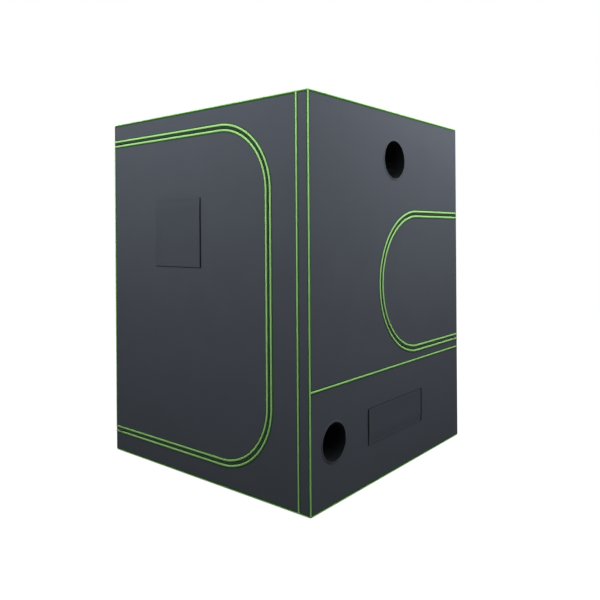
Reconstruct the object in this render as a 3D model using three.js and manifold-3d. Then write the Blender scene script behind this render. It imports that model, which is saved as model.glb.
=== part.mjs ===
// Indoor grow tent: a push-fit steel pole frame inside a box of reflective fabric, entered by two
// C-shaped zipped doors, with sleeved duct ports, flapped vents, a window and a lift-out floor tray.
// Millimetres, +Z up. The origin is on the floor under the middle, and the main door faces -Y.
import * as THREE from "three";
import { mergeVertices } from "three/addons/utils/BufferGeometryUtils.js";
import Module from "manifold-3d";

const wasm = await Module();
wasm.setup();

// Overall sizes, to the outer faces of the fabric
const tentSide = 1524;
const tentHeight = 1981;

// Fabric and the space between pieces that touch
const skinThickness = 1.5;
const gap = 0.3;

// Piping: a round cord in each box edge, and a half-round one along each flat seam
const pipingRadius = 3.5;
const floorPipingRadius = 3;
const pipingInset = 1.2;
const ringCornerRadius = 8;
const seamPipingWidth = 7;
const seamPipingRise = 2.8;
const cornerStripWidth = 72;
const wallSeamHeight = 576;
const crownShares = [[1, 0], [0.7, 0.72], [0.27, 1]];

// Poles, corner connectors and hanging bars
const poleRadius = 9.5;
const poleWall = 1;
const swageStep = 0.6;
const swageLength = 9;
const collarReach = 30;
const stubReach = 62;
const stubChamfer = 1.5;
const barRadius = 8;
const barWall = 1;
const barSpacing = 520;
const clipWall = 2.5;
const clipWidth = 24;
const clipUpperAngle = THREE.MathUtils.degToRad(47);
const clipLowerAngle = THREE.MathUtils.degToRad(-137);

// Zips: two tapes that meet at a coil, each edged with a welt of piping
const weltSpacing = 28;
const weltWidth = 7;
const weltRise = 3;
const tapeSink = 0.4;
const coilWidth = 3;
const coilRise = 1.6;
const coilHalfGap = 0.6;
const coilCrownShare = 0.22;
const endStopLength = 10;
const hingeTapeLength = 76;

// Main door zip centreline, measured from the nearest edges of the front wall
const mainZipFromCorner = 254;
const mainZipBelowRoof = 116;
const mainZipAboveFloor = 130;
const mainZipRadius = 338;

// Side door zip centreline, measured the same way on the right wall
const sideZipFromCorner = 618;
const sideZipBelowRoof = 558;
const sideZipAboveFloor = 642;
const sideZipRadius = 386;

// Zip slider and pull tab
const sliderLength = 24;
const sliderFlange = 2.6;
const sliderPlate = 1.6;
const sliderBladeLength = 8;
const sliderPark = 36;
const pinRadius = 0.9;
const earThickness = 1.2;
const earLength = 4.6;
const eyeWidth = 4.2;
const eyeWall = 1;
const tabLength = 30;
const tabWidth = 9;
const tabThickness = 1.2;
const tabNeckLength = 6;
const tabCorner = 3;
const sliderShares = [[-1, 0.55], [-0.8, 0.77], [-0.1, 0.77], [0.35, 1], [0.85, 1], [1, 0.7]];

// Window in the main door, with its clear pane inside and its flap outside
const windowFlapWidth = 384;
const windowFlapHeight = 376;
const windowFromHinge = 589;
const windowBelowRoof = 658;
const windowMargin = 34;
const windowRadius = 26;
const paneThickness = 0.8;
const paneOverlap = 12;
const flapThickness = 2;
const flapRadius = 5;

// Vents: a mesh panel inside and a flap outside
const ventFlapWidth = 564;
const ventFlapHeight = 190;
const ventHeight = 303;
const ventMargin = 30;
const ventRadius = 18;
const meshThickness = 1;
const meshOverlap = 12;
const meshThread = 7;
const meshColumns = 12;
const meshRows = 3;

// Duct ports: a flange on the wall and a sleeve tucked inside, drawn in to a neck
const upperDuctRadius = 104;
const upperDuctBelowRoof = 262;
const lowerDuctRadius = 93;
const lowerDuctFromCorner = 184;
const lowerDuctHeight = 306;
const flangeWidth = 9;
const flangeThickness = 1.5;
const sleeveStraight = 50;
const sleeveGather = 150;
const sleeveNeckRadius = 30;
const sleeveNeckFlute = 6;
const sleeveHemLength = 34;
const sleeveHemRadius = 46;
const sleeveHemFlute = 10;
const sleeveFlutes = 10;
const sleeveSides = 40;
const gatherRings = 5;

// Lift-out floor tray
const trayHeight = 60;
const trayRadius = 24;

// Numbers of facets
const poleSides = 12;
const cordSides = 8;
const cornerSteps = 4;
const zipArcSteps = 9;
const clipSteps = 8;
const hubRings = 6;
const portSides = 32;

// Worked-out places
const half = tentSide / 2;
const quarterTurn = Math.PI / 2;
const frameInset = skinThickness + gap + poleRadius;
const frameHalf = half - frameInset;
const frameTop = tentHeight - frameInset;
const ringSeat = pipingInset + pipingRadius + gap;
const wallLow = 2 * floorPipingRadius + gap;
const wallHigh = tentHeight - ringSeat;
const buttEdge = half - skinThickness - gap;
const seamReach = seamPipingWidth / 2 + gap;
const weltReach = (weltSpacing + weltWidth) / 2;
const panelReach = weltReach + gap;
const boreRadius = (poleRadius - poleWall) * Math.cos(Math.PI / poleSides);
const channelHalf = coilHalfGap + coilWidth + gap;
const pinHeight = coilRise + sliderPlate + pinRadius + eyeWall + 3 * gap;
const hingeCordReach = pipingInset * Math.SQRT2 + pipingRadius + gap;

// Directions
const alongX = new THREE.Vector3(1, 0, 0);
const alongY = new THREE.Vector3(0, 1, 0);
const alongZ = new THREE.Vector3(0, 0, 1);

// Doors on their walls: hinge is the wall's corner there, and toward leads to the free side
const mainDoor = {
  hinge: -half,
  toward: 1,
  start: 0,
  reach: tentSide - mainZipFromCorner,
  low: mainZipAboveFloor,
  high: tentHeight - mainZipBelowRoof,
  radius: mainZipRadius,
};
const sideDoor = {
  hinge: half,
  toward: -1,
  start: skinThickness + gap,
  reach: tentSide - sideZipFromCorner,
  low: sideZipAboveFloor,
  high: tentHeight - sideZipBelowRoof,
  radius: sideZipRadius,
};
const hingeCordLow = mainDoor.low + weltReach + gap;
const hingeCordHigh = mainDoor.high - weltReach - gap;

// Colours of the finishes
const finishes = {
  oxford: { color: 0x45494f, roughness: 0.85, metalness: 0 },
  piping: { color: 0x7abf5a, roughness: 0.6, metalness: 0 },
  zip: { color: 0x17191b, roughness: 0.7, metalness: 0 },
  steel: { color: 0xe8e9ea, roughness: 0.35, metalness: 0.2 },
  moulded: { color: 0x1b1c1e, roughness: 0.5, metalness: 0 },
  nickel: { color: 0x2b2d30, roughness: 0.3, metalness: 0.9 },
  sleeve: { color: 0x0c0d10, roughness: 0.9, metalness: 0 },
  mesh: { color: 0x101113, roughness: 0.8, metalness: 0 },
  pane: { color: 0x9ccf8e, roughness: 0.1, metalness: 0 },
  tray: { color: 0xb9bdc2, roughness: 0.4, metalness: 0.3 },
};

const tent = new THREE.Group();

// Solids

function asSolid(geometry) {
  const bare = geometry.clone();
  bare.deleteAttribute("normal");
  bare.deleteAttribute("uv");
  const merged = mergeVertices(bare);
  const vertProperties = new Float32Array(merged.attributes.position.array);
  const triVerts = new Uint32Array(merged.index.array);
  return new wasm.Manifold(new wasm.Mesh({ numProp: 3, vertProperties, triVerts }));
}

function asGeometry(solid) {
  const mesh = solid.getMesh();
  const geometry = new THREE.BufferGeometry();
  geometry.setAttribute("position", new THREE.BufferAttribute(mesh.vertProperties, 3));
  geometry.setIndex(new THREE.BufferAttribute(mesh.triVerts, 1));
  return geometry;
}

function joined(...geometries) {
  const whole = geometries.map(asSolid).reduce((sum, solid) => sum.add(solid));
  return asGeometry(whole);
}

function cut(geometry, ...tools) {
  const rest = tools.map(asSolid).reduce((sum, solid) => sum.subtract(solid), asSolid(geometry));
  return asGeometry(rest);
}

// Faces turned to point out, for a closed surface that may be inside out
function facedOut(geometry) {
  if (asSolid(geometry).volume() > 0) return geometry;
  const index = geometry.index.array;
  for (let i = 0; i < index.length; i += 3) {
    [index[i + 1], index[i + 2]] = [index[i + 2], index[i + 1]];
  }
  return geometry;
}

function block(low, high) {
  const [x, y, z] = low.map((value, axis) => high[axis] - value);
  const [cx, cy, cz] = low.map((value, axis) => (high[axis] + value) / 2);
  return new THREE.BoxGeometry(x, y, z).translate(cx, cy, cz);
}

function extruded(shape, low, high) {
  const options = { depth: high - low, bevelEnabled: false, curveSegments: cornerSteps };
  return new THREE.ExtrudeGeometry(shape, options).translate(0, 0, low);
}

function revolved(profile, sides) {
  const points = profile.map(([radius, height]) => new THREE.Vector2(radius, height));
  return facedOut(new THREE.LatheGeometry(points, sides));
}

// A rectangle with round corners
function roundedOutline(Kind, left, right, low, high, radius) {
  const outline = new Kind();
  outline.moveTo(left + radius, low);
  outline.lineTo(right - radius, low);
  outline.absarc(right - radius, low + radius, radius, -quarterTurn, 0);
  outline.lineTo(right, high - radius);
  outline.absarc(right - radius, high - radius, radius, 0, quarterTurn);
  outline.lineTo(left + radius, high);
  outline.absarc(left + radius, high - radius, radius, quarterTurn, 2 * quarterTurn);
  outline.lineTo(left, low + radius);
  outline.absarc(left + radius, low + radius, radius, 2 * quarterTurn, 3 * quarterTurn);
  return outline;
}

function polygon(points) {
  return new THREE.Shape(points.map(([x, y]) => new THREE.Vector2(x, y)));
}

function roundHole(x, y, radius) {
  const clear = radius / Math.cos(Math.PI / portSides);
  const points = [];
  for (let side = 0; side < portSides; side += 1) {
    const angle = (2 * Math.PI * side) / portSides;
    points.push(new THREE.Vector2(x + clear * Math.cos(angle), y + clear * Math.sin(angle)));
  }
  return new THREE.Path(points);
}

// A section of [across, out] points carried along stations of { point, across, out, along }
function swept(section, stations, closed = false) {
  const outline = section.map(([s, n]) => new THREE.Vector2(s, n));
  if (THREE.ShapeUtils.isClockWise(outline)) outline.reverse();
  const sides = outline.length;
  const positions = [];
  for (const { point, across, out } of stations) {
    for (const { x, y } of outline) {
      const corner = point.clone().addScaledVector(across, x).addScaledVector(out, y);
      positions.push(...corner.toArray());
    }
  }
  const faces = [];
  const spans = closed ? stations.length : stations.length - 1;
  for (let span = 0; span < spans; span += 1) {
    const here = span * sides;
    const next = ((span + 1) % stations.length) * sides;
    for (let side = 0; side < sides; side += 1) {
      const beside = (side + 1) % sides;
      faces.push(here + side, here + beside, next + side);
      faces.push(here + beside, next + beside, next + side);
    }
  }
  if (!closed) {
    const last = (stations.length - 1) * sides;
    for (const [a, b, c] of THREE.ShapeUtils.triangulateShape(outline, [])) {
      faces.push(a, c, b);
      faces.push(last + a, last + b, last + c);
    }
  }
  const geometry = new THREE.BufferGeometry();
  geometry.setAttribute("position", new THREE.Float32BufferAttribute(positions, 3));
  geometry.setIndex(faces);
  return facedOut(geometry);
}

function meshNode(name, geometry, finish, parent = tent) {
  const shown = geometry.index ? geometry.toNonIndexed() : geometry;
  shown.computeVertexNormals();
  const mesh = new THREE.Mesh(shown, new THREE.MeshStandardMaterial(finishes[finish]));
  mesh.name = name;
  parent.add(mesh);
  return mesh;
}

// Wall frames: x along the wall, y up and z outwards from the outer face of the fabric

function wallFrame(turn) {
  const face = new THREE.Group();
  face.rotation.x = quarterTurn;
  face.position.y = -half;
  const wall = new THREE.Group();
  wall.rotation.z = turn;
  wall.add(face);
  tent.add(wall);
  return face;
}

const front = wallFrame(0);
const right = wallFrame(quarterTurn);
const back = wallFrame(2 * quarterTurn);
const left = wallFrame(-quarterTurn);

// Frame

function pole(length) {
  const bore = poleRadius - poleWall;
  const joint = length / 2;
  const profile = [
    [bore, 0],
    [poleRadius, 0],
    [poleRadius, joint - swageLength],
    [poleRadius - swageStep, joint - swageLength + swageStep],
    [poleRadius - swageStep, joint],
    [poleRadius, joint],
    [poleRadius, length],
    [bore, length],
    [bore, 0],
  ];
  return revolved(profile, poleSides).rotateX(quarterTurn);
}

function cornerConnector() {
  const stubRadius = boreRadius - gap;
  const arm = revolved(
    [
      [0, 0],
      [poleRadius, 0],
      [poleRadius, collarReach],
      [stubRadius, collarReach],
      [stubRadius, stubReach - stubChamfer],
      [stubRadius - stubChamfer, stubReach],
      [0, stubReach],
    ],
    poleSides,
  );
  const hub = new THREE.SphereGeometry(poleRadius, poleSides, hubRings);
  const alongX = arm.clone().rotateZ(-quarterTurn);
  const alongZ = arm.clone().rotateX(quarterTurn);
  return joined(hub, arm, alongX, alongZ);
}

const corners = [
  ["front_left", -1, -1, 0],
  ["front_right", 1, -1, 1],
  ["back_right", 1, 1, 2],
  ["back_left", -1, 1, 3],
];

function addFrame() {
  const start = collarReach + gap;
  const uprightLength = frameTop - frameInset - 2 * start;
  const railLength = 2 * frameHalf - 2 * start;
  for (const [corner, x, y, turns] of corners) {
    const low = meshNode("bottom_connector_" + corner, cornerConnector(), "moulded");
    low.position.set(x * frameHalf, y * frameHalf, frameInset);
    low.rotation.z = turns * quarterTurn;
    const high = meshNode("top_connector_" + corner, cornerConnector(), "moulded");
    high.position.set(x * frameHalf, y * frameHalf, frameTop);
    high.rotation.order = "ZYX";
    high.rotation.x = 2 * quarterTurn;
    high.rotation.z = (turns + 1) * quarterTurn;
    const upright = meshNode("upright_" + corner, pole(uprightLength), "steel");
    upright.position.set(x * frameHalf, y * frameHalf, frameInset + start);
  }
  const rails = [
    ["front", 0],
    ["right", 1],
    ["back", 2],
    ["left", 3],
  ];
  for (const [side, turns] of rails) {
    const turned = new THREE.Group();
    turned.rotation.z = turns * quarterTurn;
    tent.add(turned);
    for (const [level, height] of [["bottom", frameInset], ["top", frameTop]]) {
      const rail = meshNode(level + "_rail_" + side, pole(railLength), "steel", turned);
      rail.rotation.y = quarterTurn;
      rail.position.set(-railLength / 2, -frameHalf, height);
    }
  }
}

// A ceiling bar whose open clips hold the front and back top rails from inside
function hangingBar() {
  const clipBore = poleRadius + gap;
  const reach = frameHalf - clipBore - clipWall / 2;
  const bore = barRadius - barWall;
  const tube = revolved(
    [
      [bore, -reach],
      [barRadius, -reach],
      [barRadius, reach],
      [bore, reach],
      [bore, -reach],
    ],
    poleSides,
  );
  const grip = new THREE.Shape();
  grip.absarc(0, 0, clipBore + clipWall, clipLowerAngle, clipUpperAngle, false);
  grip.absarc(0, 0, clipBore, clipUpperAngle, clipLowerAngle, true);
  const options = { depth: clipWidth, bevelEnabled: false, curveSegments: clipSteps };
  const clip = new THREE.ExtrudeGeometry(grip, options).translate(0, 0, -clipWidth / 2);
  clip.applyMatrix4(new THREE.Matrix4().makeBasis(alongY, alongZ, alongX));
  clip.translate(0, -frameHalf, 0);
  return joined(tube, clip, clip.clone().rotateZ(2 * quarterTurn));
}

function addHangingBars() {
  for (const [side, sign] of [["left", -1], ["right", 1]]) {
    const bar = meshNode("hanging_bar_" + side, hangingBar(), "steel");
    bar.position.set((sign * barSpacing) / 2, 0, frameTop);
  }
}

// Piping

function cordSection(radius) {
  const section = [];
  for (let side = 0; side < cordSides; side += 1) {
    const angle = ((side + 0.5) * 2 * Math.PI) / cordSides;
    section.push([radius * Math.cos(angle), radius * Math.sin(angle)]);
  }
  return section;
}

// A half-round cord sewn into a flat seam, as wide as the seam and flush inside
function seamSection() {
  const side = seamPipingWidth / 2;
  const crown = crownShares.map(([across, rise]) => [across * side, rise * seamPipingRise]);
  const mirrored = crown.map(([across, rise]) => [-across, rise]).reverse();
  return [[-side, -skinThickness], [side, -skinThickness], ...crown, ...mirrored];
}

function ringPath(reach, height) {
  const stations = [];
  const middle = reach - ringCornerRadius;
  for (const [corner, [x, y]] of [[1, 1], [-1, 1], [-1, -1], [1, -1]].entries()) {
    for (let step = 0; step <= cornerSteps; step += 1) {
      const angle = (corner + step / cornerSteps) * quarterTurn;
      const across = new THREE.Vector3(Math.cos(angle), Math.sin(angle), 0);
      const point = new THREE.Vector3(x * middle, y * middle, height);
      point.addScaledVector(across, ringCornerRadius);
      stations.push({ point, across, out: alongZ });
    }
  }
  return stations;
}

function cornerPath(x, y, low, high) {
  return [low, high].map((height) => ({
    point: new THREE.Vector3(x, y, height),
    across: alongX,
    out: alongY,
  }));
}

function addPiping() {
  const reach = half - pipingInset;
  const ring = cordSection(pipingRadius);
  const roofHeight = tentHeight - pipingInset;
  meshNode("roof_piping", swept(ring, ringPath(reach, roofHeight), true), "piping");
  const floorRing = cordSection(floorPipingRadius);
  meshNode("floor_piping", swept(floorRing, ringPath(reach, floorPipingRadius), true), "piping");
  const corner = cornerPath(reach, -reach, wallLow, wallHigh);
  meshNode("corner_piping", swept(ring, corner), "piping");
  const hinge = cornerPath(-reach, -reach, hingeCordLow, hingeCordHigh);
  meshNode("door_hinge_piping", swept(ring, hinge), "piping");
  const stripX = half - cornerStripWidth;
  const strip = [wallLow, wallHigh].map((y) => ({
    point: new THREE.Vector3(stripX, y, 0),
    across: alongX,
    out: alongZ,
  }));
  meshNode("strip_piping", swept(seamSection(), strip), "piping", front);
  const seam = [ringSeat - half, buttEdge].map((x) => ({
    point: new THREE.Vector3(x, wallSeamHeight, 0),
    across: alongY,
    out: alongZ,
  }));
  meshNode("wall_seam_piping", swept(seamSection(), seam), "piping", right);
}

// Zips

// The zip centreline from the hinge edge, round the door's free side and back to the hinge edge
function zipPath(door, start) {
  const radius = Math.min(door.radius, (door.high - door.low) / 2 - gap);
  const middle = door.reach - radius;
  const station = (a, b, angle) => {
    const point = new THREE.Vector3(door.hinge + door.toward * a, b, 0);
    const across = new THREE.Vector3(-door.toward * Math.cos(angle), -Math.sin(angle), 0);
    return { point, across, out: alongZ };
  };
  const path = [station(start, door.high, quarterTurn)];
  for (const [centre, turned] of [[door.high - radius, quarterTurn], [door.low + radius, 0]]) {
    for (let step = 0; step <= zipArcSteps; step += 1) {
      const angle = turned - (step / zipArcSteps) * quarterTurn;
      const a = middle + radius * Math.cos(angle);
      const b = centre + radius * Math.sin(angle);
      path.push(station(a, b, angle));
    }
  }
  path.push(station(start, door.low, -quarterTurn));
  return path;
}

// Points beside the zip, outwards onto the wall or, with a minus sign, inwards onto the door
function besideZip(door, start, offset) {
  return zipPath(door, start).map(({ point, across }) => [
    point.x - across.x * offset,
    point.y - across.y * offset,
  ]);
}

function zipSection(side) {
  const welt = weltSpacing / 2;
  const crown = crownShares.map(([across, rise]) => [(across * weltWidth) / 2, rise * weltRise]);
  const coilEdge = coilHalfGap + coilWidth;
  const section = [
    [coilHalfGap, -skinThickness],
    [weltReach, -skinThickness],
    ...crown.map(([across, rise]) => [welt + across, rise]),
    ...crown.map(([across, rise]) => [welt - across, rise]).reverse(),
    [welt - weltWidth / 2, -tapeSink],
    [coilEdge, -tapeSink],
    [coilEdge - coilCrownShare * coilWidth, coilRise],
    [coilHalfGap + coilCrownShare * coilWidth, coilRise],
  ];
  return section.map(([s, n]) => [side * s, n]);
}

// The door's tape beside the hinge stays sewn to the wall, joined to the wall's tape by a stop
function wallZip(door) {
  const whole = swept(zipSection(-1), zipPath(door, door.start));
  const coilEdge = coilHalfGap + coilWidth;
  const ends = [[door.high, -1], [door.low, 1]].flatMap(([height, inwards]) => {
    const tape = [door.start, hingeTapeLength].map((a) => ({
      point: new THREE.Vector3(door.hinge + door.toward * a, height, 0),
      across: new THREE.Vector3(0, inwards, 0),
      out: alongZ,
    }));
    const nearX = door.hinge + door.toward * door.start;
    const farX = nearX + door.toward * endStopLength;
    const stop = block(
      [Math.min(nearX, farX), height - coilEdge, -skinThickness],
      [Math.max(nearX, farX), height + coilEdge, coilRise],
    );
    return [swept(zipSection(1), tape), stop];
  });
  return joined(whole, ...ends);
}

function sliderOutline() {
  const wide = channelHalf + sliderFlange;
  const upper = sliderShares.map(([x, y]) => [(x * sliderLength) / 2, y * wide]);
  const lower = upper.map(([x, y]) => [x, -y]).reverse();
  return polygon([...upper, ...lower]);
}

// A cylinder across the slider, at the height of the pin
function crossPin(radius, width) {
  return new THREE.CylinderGeometry(radius, radius, width, poleSides).translate(0, 0, pinHeight);
}

// Two plates that straddle the coils, a blade between them, and ears with a pin for the pull tab
function slider() {
  const plateLow = coilRise + gap;
  const plateTop = plateLow + sliderPlate;
  const innerTop = -skinThickness - gap;
  const outer = extruded(sliderOutline(), gap - tapeSink, plateTop);
  const channel = block(
    [-sliderLength, -channelHalf, -sliderLength],
    [sliderLength, channelHalf, plateLow],
  );
  const inner = extruded(sliderOutline(), innerTop - sliderPlate, innerTop);
  const bladeHalf = coilHalfGap - gap;
  const blade = block(
    [-sliderBladeLength / 2, -bladeHalf, innerTop - sliderPlate / 2],
    [sliderBladeLength / 2, bladeHalf, plateLow + sliderPlate / 2],
  );
  const earInside = eyeWidth / 2 + gap;
  const earOutside = earInside + earThickness;
  const ear = joined(
    block([-earLength / 2, earInside, plateLow], [earLength / 2, earOutside, pinHeight]),
    crossPin(earLength / 2, earThickness).translate(0, earInside + earThickness / 2, 0),
  );
  const otherEar = ear.clone().rotateZ(2 * quarterTurn);
  const pin = crossPin(pinRadius, earInside + earOutside);
  return joined(cut(outer, channel), inner, blade, ear, otherEar, pin);
}

function pullTab() {
  const neck = block(
    [pinRadius, -eyeWidth / 2, pinHeight - tabThickness / 2],
    [tabNeckLength + tabCorner, eyeWidth / 2, pinHeight + tabThickness / 2],
  );
  const side = tabWidth / 2;
  const outline = roundedOutline(THREE.Shape, tabNeckLength, tabLength, -side, side, tabCorner);
  const plate = extruded(outline, pinHeight - tabThickness / 2, pinHeight + tabThickness / 2);
  const eye = crossPin(pinRadius + gap + eyeWall, eyeWidth);
  return cut(joined(eye, neck, plate), crossPin(pinRadius + gap, 2 * eyeWidth));
}

function addZip(name, door, wall) {
  meshNode(name + "_zip_wall_half", wallZip(door), "zip", wall);
  const doorHalf = swept(zipSection(1), zipPath(door, hingeTapeLength + gap));
  meshNode(name + "_zip_door_half", doorHalf, "zip", wall);
  for (const [level, height] of [["top", door.high], ["bottom", door.low]]) {
    const seat = new THREE.Group();
    seat.position.set(door.hinge + door.toward * sliderPark, height, 0);
    seat.rotation.z = door.toward > 0 ? 0 : 2 * quarterTurn;
    wall.add(seat);
    meshNode(name + "_slider_" + level, slider(), "nickel", seat);
    meshNode(name + "_pull_tab_" + level, pullTab(), "nickel", seat);
  }
}

// Walls, roof and floor

// A wall cut round a door: its far edge stands at farX and its door edge at the zip's start
function wallRoundDoor(door, farX, low, high) {
  const nearX = door.hinge + door.toward * door.start;
  return polygon([
    ...besideZip(door, door.start, panelReach),
    [nearX, low],
    [farX, low],
    [farX, high],
    [nearX, high],
  ]);
}

function ventOutline(Kind, grow) {
  const x = ventFlapWidth / 2 - ventMargin + grow;
  const y = ventFlapHeight / 2 - ventMargin + grow;
  return roundedOutline(Kind, -x, x, ventHeight - y, ventHeight + y, ventRadius);
}

function addSkin() {
  const upperDuctHeight = tentHeight - upperDuctBelowRoof;
  const panel = (name, shape, wall) => {
    meshNode(name, extruded(shape, -skinThickness, 0), "oxford", wall);
  };
  const stripX = half - cornerStripWidth;
  panel("front_wall", wallRoundDoor(mainDoor, stripX - seamReach, wallLow, wallHigh), front);
  const stripLow = [stripX + seamReach, wallLow, -skinThickness];
  const strip = block(stripLow, [half - ringSeat, wallHigh, 0]);
  meshNode("front_corner_strip", strip, "oxford", front);

  const upper = wallRoundDoor(sideDoor, ringSeat - half, wallSeamHeight + seamReach, wallHigh);
  upper.holes.push(roundHole(0, upperDuctHeight, upperDuctRadius + gap));
  panel("right_wall_upper", upper, right);
  const lowerTop = wallSeamHeight - seamReach;
  const lower = polygon([
    [ringSeat - half, wallLow],
    [buttEdge, wallLow],
    [buttEdge, lowerTop],
    [ringSeat - half, lowerTop],
  ]);
  const lowerDuctX = lowerDuctFromCorner - half;
  lower.holes.push(roundHole(lowerDuctX, lowerDuctHeight, lowerDuctRadius + gap));
  lower.holes.push(ventOutline(THREE.Path, 0));
  panel("right_wall_lower", lower, right);

  const plain = polygon([
    [-half, wallLow],
    [half, wallLow],
    [half, wallHigh],
    [-half, wallHigh],
  ]);
  panel("back_wall", plain, back);
  const notchX = half - ringSeat;
  const leftPanel = polygon([
    [-buttEdge, wallLow],
    [buttEdge, wallLow],
    [buttEdge, hingeCordLow - gap],
    [notchX, hingeCordLow - gap],
    [notchX, hingeCordHigh + gap],
    [buttEdge, hingeCordHigh + gap],
    [buttEdge, wallHigh],
    [-buttEdge, wallHigh],
  ]);
  leftPanel.holes.push(roundHole(0, upperDuctHeight, upperDuctRadius + gap));
  leftPanel.holes.push(ventOutline(THREE.Path, 0));
  panel("left_wall", leftPanel, left);

  const flat = half - ringSeat;
  const flatRadius = ringCornerRadius - pipingRadius - gap;
  const sheet = roundedOutline(THREE.Shape, -flat, flat, -flat, flat, flatRadius);
  meshNode("roof", extruded(sheet, tentHeight - skinThickness, tentHeight), "oxford");
  meshNode("floor_panel", extruded(sheet, 0, skinThickness), "oxford");
}

// Doors, window and vents

function addDoors() {
  const doorPanel = (door, edge) => {
    const inner = besideZip(door, edge, -panelReach);
    return polygon(inner);
  };
  const windowX = windowFromHinge - half;
  const windowY = tentHeight - windowBelowRoof;
  const windowOutline = (Kind, grow, radius) => {
    const x = windowFlapWidth / 2 + grow;
    const y = windowFlapHeight / 2 + grow;
    return roundedOutline(Kind, windowX - x, windowX + x, windowY - y, windowY + y, radius);
  };
  const main = doorPanel(mainDoor, hingeCordReach);
  main.holes.push(windowOutline(THREE.Path, -windowMargin, windowRadius));
  meshNode("main_door", extruded(main, -skinThickness, 0), "oxford", front);
  const pane = windowOutline(THREE.Shape, paneOverlap - windowMargin, windowRadius);
  const paneTop = -skinThickness - gap;
  meshNode("window_pane", extruded(pane, paneTop - paneThickness, paneTop), "pane", front);
  const flap = windowOutline(THREE.Shape, 0, flapRadius);
  meshNode("window_flap", extruded(flap, gap, gap + flapThickness), "oxford", front);
  const side = doorPanel(sideDoor, sideDoor.start);
  meshNode("side_door", extruded(side, -skinThickness, 0), "oxford", right);
}

function ventMesh() {
  const openings = [];
  const width = ventFlapWidth - 2 * ventMargin;
  const height = ventFlapHeight - 2 * ventMargin;
  const columnPitch = width / meshColumns;
  const rowPitch = height / meshRows;
  for (let column = 0; column < meshColumns; column += 1) {
    for (let row = 0; row < meshRows; row += 1) {
      const x = (column + 0.5) * columnPitch - width / 2;
      const y = (row + 0.5) * rowPitch + ventHeight - height / 2;
      const openX = (columnPitch - meshThread) / 2;
      const openY = (rowPitch - meshThread) / 2;
      const corners = [[-1, -1], [1, -1], [1, 1], [-1, 1]];
      openings.push(polygon(corners.map(([i, j]) => [x + i * openX, y + j * openY])));
    }
  }
  const top = -skinThickness - gap;
  const bottom = top - meshThickness;
  const panel = extruded(ventOutline(THREE.Shape, meshOverlap), bottom, top);
  return cut(panel, extruded(openings, bottom - meshThickness, top + meshThickness));
}

function ventFlap() {
  const x = ventFlapWidth / 2;
  const y = ventFlapHeight / 2;
  const outline = roundedOutline(THREE.Shape, -x, x, ventHeight - y, ventHeight + y, flapRadius);
  return extruded(outline, gap, gap + flapThickness);
}

// A sleeve whose fabric gathers into flutes towards its drawn-in neck and flares at its hem
function ductSleeve(radius) {
  const outside = [
    [radius + flangeWidth, 0, gap + flangeThickness],
    [radius + flangeWidth, 0, gap],
    [radius, 0, gap],
    [radius, 0, -sleeveStraight],
  ];
  for (let ring = 1; ring <= gatherRings; ring += 1) {
    const share = ring / gatherRings;
    const eased = share * share * (3 - 2 * share);
    const ringRadius = radius + (sleeveNeckRadius - radius) * eased;
    outside.push([ringRadius, sleeveNeckFlute * share, -sleeveStraight - sleeveGather * share]);
  }
  const hemDepth = sleeveStraight + sleeveGather + sleeveHemLength;
  outside.push([sleeveHemRadius, sleeveHemFlute, -hemDepth]);
  const inside = outside.slice(3).map(([r, flute, z]) => [r - skinThickness, flute, z]);
  const rings = [...outside, ...inside.reverse(), [radius - skinThickness, 0, gap + flangeThickness]];
  const stations = [];
  for (let side = 0; side < sleeveSides; side += 1) {
    const angle = (2 * Math.PI * side) / sleeveSides;
    const across = new THREE.Vector3(Math.cos(angle), Math.sin(angle), 0);
    const wave = Math.cos(sleeveFlutes * angle);
    stations.push({ across, wave });
  }
  return fluted(rings, stations);
}

// A closed ring of [radius, flute, height] sections, one for each station round the axis
function fluted(rings, stations) {
  const positions = [];
  const faces = [];
  for (const [index, { across, wave }] of stations.entries()) {
    for (const [radius, flute, height] of rings) {
      const corner = across.clone().multiplyScalar(radius + flute * wave);
      positions.push(corner.x, corner.y, height);
    }
    const here = index * rings.length;
    const next = ((index + 1) % stations.length) * rings.length;
    for (let ring = 0; ring < rings.length; ring += 1) {
      const beside = (ring + 1) % rings.length;
      faces.push(here + ring, next + ring, here + beside);
      faces.push(next + ring, next + beside, here + beside);
    }
  }
  const geometry = new THREE.BufferGeometry();
  geometry.setAttribute("position", new THREE.Float32BufferAttribute(positions, 3));
  geometry.setIndex(faces);
  return facedOut(geometry);
}

function addPorts() {
  for (const [side, wall] of [["right", right], ["left", left]]) {
    const sleeve = meshNode(side + "_upper_duct_sleeve", ductSleeve(upperDuctRadius), "sleeve", wall);
    sleeve.position.y = tentHeight - upperDuctBelowRoof;
    meshNode(side + "_vent_mesh", ventMesh(), "mesh", wall);
    meshNode(side + "_vent_flap", ventFlap(), "oxford", wall);
  }
  const lower = meshNode("right_lower_duct_sleeve", ductSleeve(lowerDuctRadius), "sleeve", right);
  lower.position.set(lowerDuctFromCorner - half, lowerDuctHeight, 0);
}

// Floor tray

function addTray() {
  const outer = frameHalf - poleRadius - gap;
  const inner = outer - skinThickness;
  const innerRadius = trayRadius - skinThickness;
  const outside = roundedOutline(THREE.Shape, -outer, outer, -outer, outer, trayRadius);
  const inside = roundedOutline(THREE.Shape, -inner, inner, -inner, inner, innerRadius);
  const shell = cut(extruded(outside, 0, trayHeight), extruded(inside, skinThickness, 2 * trayHeight));
  const tray = meshNode("floor_tray", shell, "tray");
  tray.position.z = skinThickness + gap;
}

addFrame();
addHangingBars();
addPiping();
addSkin();
addDoors();
addZip("main", mainDoor, front);
addZip("side", sideDoor, right);
addPorts();
addTray();

export default tent;
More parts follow.
